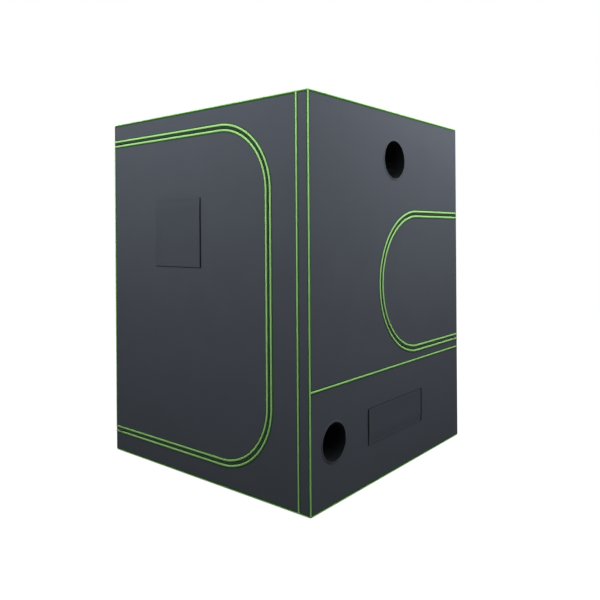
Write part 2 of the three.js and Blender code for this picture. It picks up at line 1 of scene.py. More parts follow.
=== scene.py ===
"""Indoor grow tent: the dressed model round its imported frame.

Cloth, piping, zips, flaps, sleeves and poles are modelled here in metres, each on the wall or
edge that carries it. A wall is modelled flat in its own coordinates, x along the wall, y up and
z outwards from the cloth's outer face, and then stood in its place. A box on a wall is its
left, right, low and high edges.
"""
import math
from collections import namedtuple

import bmesh
import bpy
from bpy.props import FloatProperty, FloatVectorProperty, IntProperty, PointerProperty
from mathutils import Matrix, Vector, kdtree, noise
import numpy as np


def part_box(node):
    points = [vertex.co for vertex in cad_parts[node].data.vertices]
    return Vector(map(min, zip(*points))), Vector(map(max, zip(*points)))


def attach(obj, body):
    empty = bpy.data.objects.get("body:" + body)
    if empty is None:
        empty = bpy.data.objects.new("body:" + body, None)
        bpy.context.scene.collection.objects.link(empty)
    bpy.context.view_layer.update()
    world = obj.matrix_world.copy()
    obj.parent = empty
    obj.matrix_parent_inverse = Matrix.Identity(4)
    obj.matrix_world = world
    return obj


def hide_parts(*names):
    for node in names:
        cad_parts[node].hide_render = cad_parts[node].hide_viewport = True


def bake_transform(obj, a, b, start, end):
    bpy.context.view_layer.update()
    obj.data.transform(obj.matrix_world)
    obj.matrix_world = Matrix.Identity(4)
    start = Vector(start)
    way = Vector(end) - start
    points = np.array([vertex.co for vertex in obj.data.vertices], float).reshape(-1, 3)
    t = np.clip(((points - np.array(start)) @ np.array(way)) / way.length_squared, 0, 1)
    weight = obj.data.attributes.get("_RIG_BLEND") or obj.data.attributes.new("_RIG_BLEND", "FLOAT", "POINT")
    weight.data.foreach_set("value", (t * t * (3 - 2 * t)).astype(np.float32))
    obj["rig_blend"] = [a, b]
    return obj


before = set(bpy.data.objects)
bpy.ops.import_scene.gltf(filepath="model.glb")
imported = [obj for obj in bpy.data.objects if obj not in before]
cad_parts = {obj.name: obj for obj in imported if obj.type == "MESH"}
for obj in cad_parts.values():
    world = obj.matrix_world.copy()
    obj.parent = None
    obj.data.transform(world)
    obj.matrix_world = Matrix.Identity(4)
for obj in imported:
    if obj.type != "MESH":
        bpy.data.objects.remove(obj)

bl_info = {
    "name": "Indoor grow tent",
    "version": (1, 0, 0),
    "blender": (4, 5, 0),
    "location": "3D View > Sidebar > Grow tent",
    "description": "Cloth, piping, zips, vents, sleeves and poles of a square grow tent",
    "category": "Add Mesh",
}

# Units and directions
MM = 0.001
QUARTER = math.pi / 2
UP = Vector((0, 0, 1))

# The box of the tent, to the outer faces of its cloth
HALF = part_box("back_wall")[1][1]
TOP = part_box("roof")[1][2]
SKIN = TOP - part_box("roof")[0][2]
WALL_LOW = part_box("back_wall")[0][2]
GAP = 0.3 * MM
ROOF_CORNER = 4 * MM

# Distances below which points are one, for cutting and for closing a ring, and the most corners
# that a face of cloth may have
TINY = 1e-6
WELD = 0.05 * MM
MOST_CORNERS = 6

# A stretched panel lies flat beside its held edges and eases out to its slack: broad waves and a
# share of fine ones, both as waves per metre along and up the wall
HELD_EDGE = 40 * MM
EASE_WIDTH = 140 * MM
BROAD_WAVES = (2.1, 1.3)
FINE_WAVES = (7.0, 3.1)
FINE_SHARE = 0.3
FINE_SEED = 9.0
HINGE_FOLD = 60 * MM
HINGE_ROWS = 8

# Piping: a round cord on each box edge and a half-round welt on each flat seam. Where the
# flanges of two runs cross, one lies on the other, so each kind lies at a height of its own. A
# welt's crown is a sine to a power, and a tape's edge is upright to a share of its height.
CORD = 3.5 * MM
FLOOR_CORD = 3.0 * MM
WELT_ROOT = 7.0 * MM
ZIP_WELT = 10.4 * MM
SEAM_WELT = 8.6 * MM
WELT_RISE = 3.0 * MM
SEAM_RISE = 2.8 * MM
WELT_FOOT = 0.1 * MM
WELT_CROWN = 0.6
RING_CORNER = 8.0 * MM
RING_DROP = 4.4 * MM
FLOOR_DROP = 0.4 * MM
CORNER_INSET = 5 * MM
FLANGE_TAPE = 7.0 * MM
FLANGE_TUCK = 0.3 * MM
FLANGE_CLEAR = 10 * MM
TAPE_FOOT = 0.03 * MM
TAPE_SOFT = 0.4 * MM
TAPE_SHOULDER = 0.6
ZIP_LAP = 0.6 * MM
RING_LAP = 0.5 * MM
SEAM_LAP = 0.42 * MM
CORNER_LAP = 0.35 * MM
THREAD_LIFT = 0.1 * MM

# A stitch: the share of its pitch that shows, its width and its height
STITCH_SHARE = 0.6
STITCH_WIDTH = 0.9 * MM
STITCH_HEIGHT = 0.8 * MM

# Zips: each half has a welt, a tape and a coil beside the centreline
WELT_SPACING = 28 * MM
WELT_REACH = (WELT_SPACING + WELT_ROOT) / 2
TAPE_SINK = 0.4 * MM
COIL_GAP = 0.6 * MM
COIL_WIDTH = 3.0 * MM
COIL_RISE = 1.6 * MM
SLIDER_CLEAR = 7.9 * MM
HINGE_TAPE = 76 * MM
END_STOP = 10 * MM
MAIN_ZIP_RADIUS = 338 * MM
SIDE_ZIP_RADIUS = 386 * MM
ARC_STEPS = 32
CORNER_STEPS = 10

# Openings and what surrounds them: a flap's margin, a binding sewn over the cloth's edge,
# and the flange of a duct port
FLAP_MARGIN = 34 * MM
WINDOW_CORNER = 26 * MM
VENT_MARGIN = 30 * MM
VENT_CORNER = 18 * MM
BINDING_OUT = 7 * MM
BINDING_IN = 3 * MM
BINDING_HEIGHTS = (0.05 * MM, 0.9 * MM)
PANE_MESH = 20 * MM
FLANGE = 9 * MM

# Flaps: cloth over hook and loop tape, sewn down along one edge. From there the cloth rises to
# its rest, and it dips a little between the tapes, over an ease from the tapes and from the
# sewn edge, with a ripple of some waves per metre. Its hem is turned in, and stitches run inside
# its edges, those of the sewn edge at a share of the hem's rise. Tapes are softened at their
# edges by a share of their thickness.
FLAP_REST = 2.6 * MM
FLAP_LEAST = 0.4 * MM
FLAP_DIP = 1.4 * MM
FLAP_RIPPLE = 0.8 * MM
FLAP_WAVES = (9, 9)
FLAP_SEED = 3.5
DIP_EASE = 50 * MM
DIP_START = 90 * MM
FLAP_MESH = 11 * MM
FLAP_CLOTH = 0.9 * MM
FLAP_RISE = 58 * MM
FLAP_FOLD = 14 * MM
FLAP_CORNER = 5 * MM
HEM = 14 * MM
HEM_RISE = 0.4 * MM
HEM_STEP = 1.5 * MM
TAPE_WIDTH = 20 * MM
TAPE_CLEAR = 2 * MM
TAPE_STACK = 1.2 * MM
BINDING_LAP = 0.35 * MM
BINDING_OVER = 0.6 * MM
BINDING_SOFT = 0.3 * MM
BINDING_ROWS = 30
STITCH_INSET = 9 * MM
STITCH_START = 26 * MM
SEAM_STITCH = 4 * MM
SEAM_SHARE = 0.2
LAYER_SOFT = 0.3

# The loop tape on the wall and the hook tape on the flap: how far each lies inside the flap's
# edge, and its lower and upper face
LOOP_LAYER = (1.5 * MM, 0.05 * MM, TAPE_STACK)
HOOK_LAYER = (1.0 * MM, TAPE_STACK + 0.1 * MM, FLAP_REST - 0.05 * MM)

# The photograph's camera, in metres and in pixels of its 600 by 600 frame
CAMERA_AT = (2.5670, -2.9957, 1.3118)
CAMERA_YAW = math.radians(-38.832)
CAMERA_ROLL = math.radians(-0.4)
FRAME_PIXELS = 600
FOCAL_PIXELS = 623.9
CENTRE_PIXELS = (310.0, 233.74)
SENSOR_MM = 36.0

Door = namedtuple("Door", "side hinge toward start reach low high radius")
Flap = namedtuple("Flap", "name side box seam far up")


def door_from(side, node, hinge, toward, start, radius):
    """A door's zip centreline, read from the box of the zip half that stays on the wall."""
    low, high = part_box(node)
    along = (low[0], high[0]) if side == "front" else (low[1], high[1])
    far = along[1] if toward > 0 else along[0]
    reach = abs(far - hinge) - WELT_REACH
    ends = low[2] + WELT_REACH, high[2] - WELT_REACH
    return Door(side, hinge, toward, start, reach, *ends, radius)


MAIN = door_from("front", "main_zip_wall_half", -HALF, 1, 0.0, MAIN_ZIP_RADIUS)
SIDE = door_from("right", "side_zip_wall_half", HALF, -1, SKIN + GAP, SIDE_ZIP_RADIUS)


# Settings

def linear(code):
    """An sRGB hex colour as linear red, green, blue and alpha."""
    parts = [int(code[at:at + 2], 16) / 255 for at in (1, 3, 5)]
    return [p / 12.92 if p <= 0.04045 else ((p + 0.055) / 1.055) ** 2.4 for p in parts] + [1.0]


def shade(name, text, code):
    """A colour setting with an sRGB hex default."""
    return FloatVectorProperty(
        name=name, description=text, default=linear(code), size=4, subtype="COLOR", min=0, max=1
    )


def metres(name, text, value, least, most=1.0):
    """A length setting, in metres."""
    return FloatProperty(
        name=name, description=text, default=value, min=least, max=most, subtype="DISTANCE",
        unit="LENGTH",
    )


def watts(name, text, value):
    """A lamp's power, in watts."""
    return FloatProperty(name=name, description=text, default=value, min=0, unit="POWER")


def number(kind, name, text, value, least, most):
    """A setting that is a plain number."""
    return kind(name=name, description=text, default=value, min=least, max=most)


class TentColours(bpy.types.PropertyGroup):
    """Colours of the tent's cloth, trim and fittings."""

    oxford: shade("Oxford cloth", "Dyed polyester cloth of the outside", "#43474e")
    # The flap cloth is the oxford a shade darker, as painted shade on the flaps
    flap: shade("Flap cloth", "Dyed polyester cloth of the flaps", "#40444b")
    film: shade("Reflective film", "Aluminised film that lines the cloth", "#d5d8da")
    piping: shade("Piping", "Knitted cover of the piping cords", "#8cba76")
    # The floor cord's cover is a shade darker than the rest, as painted shade along the floor
    floor_piping: shade("Floor piping", "Scuffed cover of the lowest piping cord", "#6f9a5c")
    flange: shade("Piping flange", "Sewn tape either side of the piping", "#1f4719")
    tape: shade("Zip tape", "Woven tape of the zips", "#143a10")
    # Binding is also sewn round the flaps' free edges, where it paints their shadow lines
    binding: shade("Binding", "Bias binding and hook tape", "#0c0d10")
    coil: shade("Zip coil", "Wound coil of the zips", "#0c260a")
    slider: shade("Zip slider", "Enamel of the sliders and pull tabs", "#2b2d30")
    sleeve: shade("Sleeve cloth", "Coated cloth of the duct sleeves", "#0e1013")
    netting: shade("Vent mesh", "Coated threads of the vent mesh", "#2a2c30")
    window: shade("Window film", "Tint of the window film", "#8fc47c")
    tray: shade("Tray sheet", "Coated sheet of the floor tray", "#b4b8bd")
    pole: shade("Powder coat", "Coating of the poles and bars", "#e6e7e6")
    moulding: shade("Corner moulding", "Nylon of the corner connectors", "#191a1c")


class TentCloth(bpy.types.PropertyGroup):
    """Sizes of the cloth's weave and of how it hangs."""

    weave: metres("Weave pitch", "Distance from thread to thread as drawn", 2.2 * MM, 0.2 * MM)
    spacing: metres("Mesh spacing", "Distance between rows of the cloth's mesh", 24 * MM, 5 * MM)
    slack: metres("Slack", "How far a stretched panel stands off flat", 2.2 * MM, 0, 6 * MM)
    stitch: metres("Stitch pitch", "Distance from stitch to stitch", 6 * MM, 2 * MM)


class TentTrim(bpy.types.PropertyGroup):
    """Sizes of the zips, sleeves and poles."""

    tooth: metres("Coil pitch", "Distance from turn to turn of the zip coil", 3.2 * MM, 1 * MM)
    flutes: number(IntProperty, "Sleeve folds", "Folds that a sleeve is drawn into", 14, 6, 30)
    pole_sides: number(IntProperty, "Pole sides", "Facets round a pole", 36, 12, 96)


class TentStage(bpy.types.PropertyGroup):
    """Powers of the lamps and the strength of the room's light."""

    front_lamp: watts("Front lamp", "Soft lamp before the main door", 190.0)
    right_lamp: watts("Right lamp", "Soft lamp before the right wall", 156.0)
    back_lamp: watts("Back lamps", "Soft lamps before the back and left walls", 110.0)
    sky: number(FloatProperty, "Room light", "Strength of the light from all round", 0.03, 0, 1)


# Wall coordinates

WALL_TURNS = {"front": 0, "right": 1, "back": 2, "left": 3}


def placed(side):
    """From a wall's coordinates, or the roof's or floor's, to the tent's."""
    if side == "roof":
        return Matrix.Translation((0, 0, TOP))
    if side == "floor":
        return Matrix.Rotation(2 * QUARTER, 4, "X")
    if side == "tent":
        return Matrix.Identity(4)
    stood = Matrix.Translation((0, -HALF, 0)) @ Matrix.Rotation(QUARTER, 4, "X")
    return Matrix.Rotation(WALL_TURNS[side] * QUARTER, 4, "Z") @ stood


def box_on(side, node):
    """A node's box in its wall's coordinates."""
    corners = [placed(side).inverted() @ Vector(corner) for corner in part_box(node)]
    xs, ys, _ = zip(*corners)
    return min(xs), max(xs), min(ys), max(ys)


def grown(box, amount):
    """A box let out by an amount on every side."""
    left, right, low, high = box
    return left - amount, right + amount, low - amount, high + amount


def rounded(box, radius, steps=8):
    """The points of a box with round corners."""
    left, right, low, high = box
    points = []
    for x, y, turn in ((right, low, -1), (right, high, 0), (left, high, 1), (left, low, 2)):
        cx = x - math.copysign(radius, x - (left + right) / 2)
        cy = y - math.copysign(radius, y - (low + high) / 2)
        for step in range(steps + 1):
            angle = (turn + step / steps) * QUARTER
            points.append((cx + radius * math.cos(angle), cy + radius * math.sin(angle)))
    return points


def circle(x, y, radius, sides=96, first=0.0):
    """The points of a round outline, from an angle on."""
    turns = [2 * math.pi * side / sides + first for side in range(sides)]
    return [(x + radius * math.cos(a), y + radius * math.sin(a)) for a in turns]


# Routes of piping, zips and stitches

class Route:
    """A flat route on a wall, made of straight runs and turns."""

    def __init__(self, x, y, heading):
        """Starts at a place on the wall, with a heading."""
        self.start = self.at = Vector((x, y, 0))
        self.first = self.heading = Vector(heading).normalized().to_3d()
        self.legs = []
        self.length = 0.0
        self.line = [(0.0, self.at.copy(), self.heading.copy())]

    def run(self, distance):
        """Carries on straight."""
        self.legs.append(("run", self.heading * distance, None, 1))
        self.at = self.at + self.heading * distance
        self.length += distance
        self.line.append((self.length, self.at.copy(), self.heading.copy()))
        return self

    def turn(self, radius, angle, steps=ARC_STEPS):
        """Turns to the left by a positive angle and to the right by a negative one."""
        centre = self.at + UP.cross(self.heading) * math.copysign(radius, angle)
        self.legs.append(("turn", centre, angle, steps))
        arm, heading, length = self.at - centre, self.heading, self.length
        for step in range(1, steps + 1):
            turned = Matrix.Rotation(angle * step / steps, 3, "Z")
            self.at = centre + turned @ arm
            self.heading = turned @ heading
            self.length = length + radius * abs(angle) * step / steps
            self.line.append((self.length, self.at.copy(), self.heading.copy()))
        return self

    def beside(self, offset):
        """The points at a distance to the left of the route."""
        return [at + UP.cross(heading) * offset for _, at, heading in self.line]


def zip_route(door, start):
    """A zip's centreline, from the hinge edge round the door's free side and back."""
    route = Route(door.hinge + door.toward * start, door.high, (door.toward, 0))
    straight = door.reach - door.radius - start
    upright = door.high - door.low - 2 * door.radius
    route.run(straight).turn(door.radius, -door.toward * QUARTER)
    route.run(upright).turn(door.radius, -door.toward * QUARTER)
    return route.run(straight)


def zip_edge(door, start, offset):
    """Points beside a zip, outwards onto the wall or, with a minus sign, inwards."""
    return [(p.x, p.y) for p in zip_route(door, start).beside(door.toward * offset)]


def ring_route(reach, corner):
    """A route round a square with round corners."""
    side = reach - corner
    route = Route(-side, -reach, (1, 0))
    for _ in range(4):
        route.run(2 * side).turn(corner, QUARTER, CORNER_STEPS)
    return route


# Shader patterns, each a height or a drift from 0 to 1

def add(tree, kind, links=None, values=None, **settings):
    """Adds a shader node with its settings, socket values and incoming links."""
    made = tree.nodes.new("ShaderNode" + kind)
    for name, value in settings.items():
        setattr(made, name, value)
    for socket, value in (values or {}).items():
        made.inputs[socket].default_value = value
    for socket, source in (links or {}).items():
        tree.links.new(source, made.inputs[socket])
    return made


def on_map(tree, turn=0.0):
    """The two coordinates of the cloth's own map, turned by an angle."""
    where = add(tree, "UVMap", uv_map="Cloth")
    if turn:
        where = add(tree, "Mapping", {0: where.outputs[0]}, {"Rotation": (0, 0, turn)})
    return add(tree, "SeparateXYZ", {0: where.outputs[0]}).outputs[:2]


def threads(tree, source, pitch):
    """Round threads a pitch apart along one coordinate: a sine, and its height."""
    turned = add(tree, "Math", {0: source}, {1: math.pi / pitch}, operation="MULTIPLY")
    sine = add(tree, "Math", {0: turned.outputs[0]}, operation="SINE")
    height = add(tree, "Math", {0: sine.outputs[0]}, operation="ABSOLUTE")
    return sine.outputs[0], height.outputs[0]


def plain_weave(tree, pitch):
    """A plain weave: each thread passes over and under in turn."""
    (across, warp), (along, weft) = [threads(tree, source, pitch) for source in on_map(tree)]
    product = add(tree, "Math", {0: across, 1: along}, operation="MULTIPLY")
    over = add(tree, "Math", {0: product.outputs[0]}, {1: 0.0}, operation="GREATER_THAN")
    return add(tree, "Mix", {0: over.outputs[0], 2: warp, 3: weft}).outputs[0]


def oxford_weave(tree):
    """The plain weave of the walls' cloth, at the pitch that is set."""
    return plain_weave(tree, bpy.context.scene.tent_cloth.weave)


def ribs(tree, pitch):
    """Ribs across a tape."""
    return threads(tree, on_map(tree)[0], pitch)[1]


def slanted_ribs(tree, pitch):
    """Ribs that wind round a cord."""
    along, round_it = on_map(tree)
    slanted = add(tree, "Math", {0: along, 1: round_it}, operation="ADD")
    return threads(tree, slanted.outputs[0], pitch)[1]


def diamonds(tree, pitch):
    """Pillows between two sets of slanting grooves."""
    one, two = [threads(tree, source, pitch)[1] for source in on_map(tree, QUARTER / 2)]
    return add(tree, "Math", {0: one, 1: two}, operation="MINIMUM").outputs[0]


def grain(tree, scale, detail=2.0):
    """A cloudy unevenness in the tent's own space, of a scale per metre."""
    where = add(tree, "TexCoord")
    values = {"Scale": scale, "Detail": detail}
    return add(tree, "TexNoise", {"Vector": where.outputs["Object"]}, values).outputs["Fac"]


def nap(tree, pitch):
    """Tufts of pile a pitch apart."""
    where = add(tree, "TexCoord")
    tufts = add(tree, "TexVoronoi", {"Vector": where.outputs["Object"]}, {"Scale": 1 / pitch})
    return tufts.outputs["Distance"]


def seen_directly(tree):
    """One for a ray from the camera or off a shiny or clear surface, otherwise nought."""
    rays = add(tree, "LightPath").outputs
    links = {0: rays["Is Glossy Ray"], 1: rays["Is Transmission Ray"]}
    shiny = add(tree, "Math", links, operation="MAXIMUM")
    links = {0: rays["Is Camera Ray"], 1: shiny.outputs[0]}
    return add(tree, "Math", links, operation="MAXIMUM").outputs[0]


# Materials

# A finish: its material's name and the record's slot that it belongs to. Its drift is the scale
# # per metre of its uneven tone, with the least and most brightness, rough is its least and most
# # roughness, relief a pattern with its sizes, and depth and strength the relief's. Groove shade is
# # the share of its brightness that the tone keeps in the grooves, a painted shade, and fixed holds
# # the shader's constants. Tone names the colour setting where the finish is called otherwise.
Look = namedtuple(
    "Look", "name slot drift rough relief depth strength groove fixed tone",
    defaults=(0.5, 1.0, None, None),
)

# Solution-dyed polyester, plain woven: matt, with a fine grid of round threads. The real threads
# are 0.5 mm apart, and are drawn coarser so that they show.
OXFORD = Look(
    "Oxford polyester, plain woven", "oxford_fabric", (5.0, 0.965, 1.035), (0.84, 0.92),
    (oxford_weave,), 0.10 * MM, groove=0.9, fixed={"Specular IOR Level": 0.06},
)
# A knitted polyester tube on a cotton cord: matt and bright green, with slanted ribs of yarn
# 1.6 mm apart
KNITTED = Look(
    "Polyester piping cord, knitted cover", "green_piping", (14.0, 0.93, 1.05), (0.6, 0.72),
    (slanted_ribs, 1.6 * MM), 0.18 * MM, 0.6, 0.86,
    {"Specular IOR Level": 0.2, "Sheen Weight": 0.05},
)
# A narrow woven polyester tape: matt dark green, with a rib every 1.4 mm along its length
RIBBED = Look(
    "Polyester zip tape, woven", "zip_tape", (20.0, 0.9, 1.1), (0.8, 0.9), (ribs, 1.4 * MM),
    0.15 * MM, 0.6, 0.8, {"Specular IOR Level": 0.08},
)
# Glass-filled nylon, injection moulded: satin black, with a fine spark-eroded grain
MOULDED = Look(
    "Nylon corner, moulded", "connector_plastic", (30.0, 0.95, 1.05), (0.42, 0.55),
    (grain, 1 / (0.8 * MM)), 0.06 * MM,
)

LOOKS = {
    "oxford": OXFORD,
    # The same cloth, a shade darker: painted shade on the flaps
    "flap": OXFORD._replace(name="Flap polyester, plain woven"),
    # Bonded nylon thread: charcoal, slightly lustrous, twisted
    "thread": Look(
        "Nylon sewing thread, bonded", "oxford_fabric", (60.0, 0.5, 0.62), (0.45, 0.6),
        (grain, 1200.0, 1.0), 0.1 * MM, tone="oxford",
    ),
    # Aluminised polyester film, embossed in diamonds: bright, with a soft broken reflection. The
    # real diamonds are about 8 mm across, and are drawn twice as coarse so that they show.
    "film": Look(
        "Polyester film, aluminised and embossed", "oxford_fabric", (9.0, 0.94, 1.0), (0.38, 0.48),
        (diamonds, 16 * MM), 0.5 * MM, 0.6, fixed={"Metallic": 0.9},
    ),
    "piping": KNITTED,
    # The same cover round the floor, a shade darker: painted shade along the floor
    "floor_piping": KNITTED._replace(name="Polyester piping cord, knitted cover, scuffed"),
    # The tape that the piping is sewn in with
    "flange": RIBBED._replace(name="Polyester piping flange, woven", slot="green_piping"),
    "tape": RIBBED,
    # Nylon, extruded and wound: smooth, with a low shine
    "coil": MOULDED._replace(
        name="Nylon zip coil, wound", slot="zip_tape", rough=(0.35, 0.5),
        relief=(grain, 1 / (1.5 * MM)), depth=0.05 * MM,
    ),
    # Zinc die casting under baked enamel: smooth and glossy, dulled where fingers rub it
    "slider": Look(
        "Zinc slider, die cast and enamelled", "zip_metal", (60.0, 0.85, 1.15), (0.24, 0.4),
        (grain, 900.0), 0.02 * MM, fixed={"Metallic": 0.85},
    ),
    # White powder coat baked on steel tube: low orange peel, satin, faintly grubby
    "pole": Look(
        "Steel tube, powder coated", "pole_steel", (8.0, 0.95, 1.0), (0.3, 0.42),
        (grain, 420.0, 1.0), 0.05 * MM,
    ),
    "moulding": MOULDED,
    # Coated polyester, plain woven: near black, a little shine on the folds
    "sleeve": Look(
        "Sleeve polyester, woven and coated", "sleeve_fabric", (12.0, 0.85, 1.15), (0.8, 0.9),
        (plain_weave, 1.6 * MM), 0.08 * MM, groove=0.85, fixed={"Specular IOR Level": 0.06},
    ),
    # Nylon hook and loop tape: black pile, matt, with a rough even nap
    "hook": Look(
        "Hook and loop tape, napped nylon", "sleeve_fabric", (40.0, 0.8, 1.2), (0.85, 0.95),
        (nap, 1.6 * MM), 0.5 * MM, 0.7, fixed={"Specular IOR Level": 0.08}, tone="binding",
    ),
    # Polyester thread dipped in vinyl: black, slightly shiny
    "netting": MOULDED._replace(
        name="Vent mesh thread, vinyl coated", slot="vent_mesh", rough=(0.5, 0.65),
        relief=(grain, 1 / (2 * MM)), depth=0.05 * MM,
    ),
    # Vinyl film, calendered: clear with an even green tint, softly rippled
    "window": Look(
        "Vinyl window film, calendered", "window_film", None, (0.08, 0.16), (grain, 14.0, 1.5),
        1.2 * MM, 0.4, fixed={"Alpha": 0.55, "IOR": 1.5},
    ),
    # Laminated woven sheet: silver grey, with a flat tape weave 4 mm wide under the film
    "tray": Look(
        "Tray sheet, woven and laminated", "tray_fabric", (7.0, 0.9, 1.04), (0.36, 0.5),
        (plain_weave, 4 * MM), 0.12 * MM, 0.6, 0.93, {"Metallic": 0.35},
    ),
}
made_finishes = {}

# Noise lies mostly between these values, which a drift takes as its ends
NOISE_ENDS = {"From Min": 0.3, "From Max": 0.7}


def begun(name):
    """A new material and its node tree, emptied."""
    material = bpy.data.materials.new(name)
    material.use_nodes = True
    material.node_tree.nodes.clear()
    return material, material.node_tree


def surface(look, tone):
    """The material of a look. An even tone is set on the shader itself, and its roughness then
    follows the relief."""
    material, tree = begun(look.name)
    pattern, *sizes = look.relief
    height = uneven = pattern(tree, *sizes)
    links, values = {}, dict(look.fixed or {})
    if look.drift:
        scale, dull, bright = look.drift
        uneven = grain(tree, scale, 3.0)
        ends = {**NOISE_ENDS, "To Min": dull, "To Max": bright}
        share = add(tree, "MapRange", {"Value": uneven}, ends).outputs[0]
        colour = add(tree, "VectorMath", {"Scale": share}, {0: tone[:3]}, operation="SCALE")
        # Painted shade: the tone is darkened in the relief's grooves, where shade would fall
        if look.groove < 1:
            ends = {"To Min": look.groove, "To Max": 1.0}
            share = add(tree, "MapRange", {"Value": height}, ends).outputs[0]
            both = {0: colour.outputs[0], "Scale": share}
            colour = add(tree, "VectorMath", both, operation="SCALE")
        links["Base Color"] = colour.outputs[0]
    else:
        values["Base Color"] = tone
    ends = {**NOISE_ENDS, "To Min": look.rough[0], "To Max": look.rough[1]}
    links["Roughness"] = add(tree, "MapRange", {"Value": uneven}, ends).outputs[0]
    ends = {"Distance": look.depth, "Strength": look.strength}
    links["Normal"] = add(tree, "Bump", {"Height": height}, ends).outputs[0]
    shader = add(tree, "BsdfPrincipled", links, values)
    add(tree, "OutputMaterial", {"Surface": shader.outputs[0]})
    return material


def finish(name):
    """The material of that name, made the first time it is asked for."""
    if name not in made_finishes:
        look = LOOKS[name]
        tone = getattr(bpy.context.scene.tent_colours, look.tone or name)
        made_finishes[name] = surface(look, tone)
    return made_finishes[name]


# Mesh work

def piece(bm, name, side, finishes, body=None, replaces=(), sharp=40.0):
    """Stands a finished mesh in its place and gives it its finishes and body."""
    bm.transform(placed(side))
    mesh = bpy.data.meshes.new(name)
    for face in bm.faces:
        face.smooth = True
    bm.to_mesh(mesh)
    bm.free()
    mesh.set_sharp_from_angle(angle=math.radians(sharp))
    for each in finishes:
        mesh.materials.append(finish(each))
    made = bpy.data.objects.new(name, mesh)
    bpy.context.scene.collection.objects.link(made)
    if body:
        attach(made, body)
    if replaces:
        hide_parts(*replaces)
    return made


def new_mesh():
    """An empty mesh with the cloth's map."""
    bm = bmesh.new()
    bm.loops.layers.uv.new("Cloth")
    return bm


def add_to(bm, part):
    """Adds one mesh to another, with its map and finishes."""
    spare = bpy.data.meshes.new("spare")
    part.to_mesh(spare)
    part.free()
    bm.from_mesh(spare)
    bpy.data.meshes.remove(spare)


def drawn(bm, points, closed=True):
    """Vertices at the points, and the edges that join them."""
    corners = [bm.verts.new(point) for point in points]
    following = corners[1:] + (corners[:1] if closed else [])
    return corners, [bm.edges.new(pair) for pair in zip(corners, following)]


def outline(bm, points, height=0.0):
    """A closed loop of edges through the points of a wall."""
    return drawn(bm, [(x, y, height) for x, y in points])[1]


def spun(bm, line, edges, centre, steps):
    """Turns a line a full round about an upright axis."""
    bmesh.ops.spin(
        bm, geom=line + edges, cent=centre, axis=UP, dvec=(0, 0, 0), angle=4 * QUARTER,
        steps=steps, use_merge=True, use_duplicate=False,
    )


def each_once(items):
    """The items without repeats, in the order that they come in, which a set would lose."""
    return list(dict.fromkeys(items))


def outwards(bm):
    """Turns the faces of a closed mesh outwards."""
    bmesh.ops.recalc_face_normals(bm, faces=bm.faces[:])


def block(bm, corner, opposite, soft):
    """A box between two corners, with its edges bevelled by a soft width."""
    size = [abs(a - b) for a, b in zip(corner, opposite)]
    middle = [(a + b) / 2 for a, b in zip(corner, opposite)]
    shape = Matrix.Translation(middle) @ Matrix.Diagonal((*size, 1))
    made = bmesh.ops.create_cube(bm, size=1.0, matrix=shape)["verts"]
    edges = each_once(e for v in made for e in v.link_edges)
    bmesh.ops.bevel(
        bm, geom=edges, offset=soft, segments=2, profile=0.5, affect="EDGES", material=-1
    )


def sliced(bm, axis, at):
    """Cuts the mesh across one axis at a place."""
    place, normal = Vector(), Vector()
    place[axis] = at
    normal[axis] = 1
    everything = bm.verts[:] + bm.edges[:] + bm.faces[:]
    bmesh.ops.bisect_plane(bm, geom=everything, dist=TINY, plane_co=place, plane_no=normal)


def leans(edge):
    """Whether an inner edge runs along neither axis."""
    step = edge.verts[1].co - edge.verts[0].co
    return min(abs(step.x), abs(step.y)) > TINY and not edge.is_boundary


def cut_cloth(edge, holes, spacing, extra=()):
    """A flat sheet inside an outline, mapped in metres, in cells no wider than the spacing."""
    bm = new_mesh()
    edges = outline(bm, edge)
    for hole in holes:
        edges += outline(bm, hole)
    bmesh.ops.triangle_fill(bm, use_beauty=True, use_dissolve=False, edges=edges, normal=UP)
    for axis, line in enumerate(zip(*edge)):
        low, high = min(line), max(line)
        count = math.ceil((high - low) / spacing)
        for step in range(1, count):
            sliced(bm, axis, low + (high - low) * step / count)
    for axis, at in extra:
        sliced(bm, axis, at)
    inner = [e for e in bm.edges if leans(e)]
    bmesh.ops.dissolve_edges(bm, edges=inner, use_verts=False, use_face_split=False)
    bmesh.ops.triangulate(bm, faces=[f for f in bm.faces if len(f.verts) > MOST_CORNERS])
    bm.normal_update()
    bmesh.ops.reverse_faces(bm, faces=[f for f in bm.faces if f.normal.z < 0])
    map_flat(bm)
    return bm


def smooth_step(share):
    """Eases a share from 0 to 1."""
    share = min(max(share, 0.0), 1.0)
    return share * share * (3 - 2 * share)


def nearest(points):
    """A finder of the nearest of some points."""
    near = kdtree.KDTree(len(points))
    for index, co in enumerate(points):
        near.insert(co, index)
    near.balance()
    return near


def unevenness(x, y, waves, seed):
    """A smooth random height from about -1 to 1, of some waves per metre along and up."""
    return noise.noise(Vector((x * waves[0], y * waves[1], seed)))


def hang(bm, amount, seed):
    """Lets a stretched sheet stand a little off flat, away from what holds its edges."""
    near = nearest([v.co.copy() for v in bm.verts if v.is_boundary])
    for v in bm.verts:
        distance = near.find(v.co)[2]
        broad = unevenness(v.co.x, v.co.y, BROAD_WAVES, seed)
        fine = unevenness(v.co.x, v.co.y, FINE_WAVES, seed + FINE_SEED)
        eased = smooth_step((distance - HELD_EDGE) / EASE_WIDTH)
        v.co.z += amount * eased * (broad + FINE_SHARE * fine)


def map_flat(bm):
    """Writes the cloth's map as metres along and up the sheet."""
    uv = bm.loops.layers.uv["Cloth"]
    for face in bm.faces:
        for loop in face.loops:
            loop[uv].uv = (loop.vert.co.x, loop.vert.co.y)


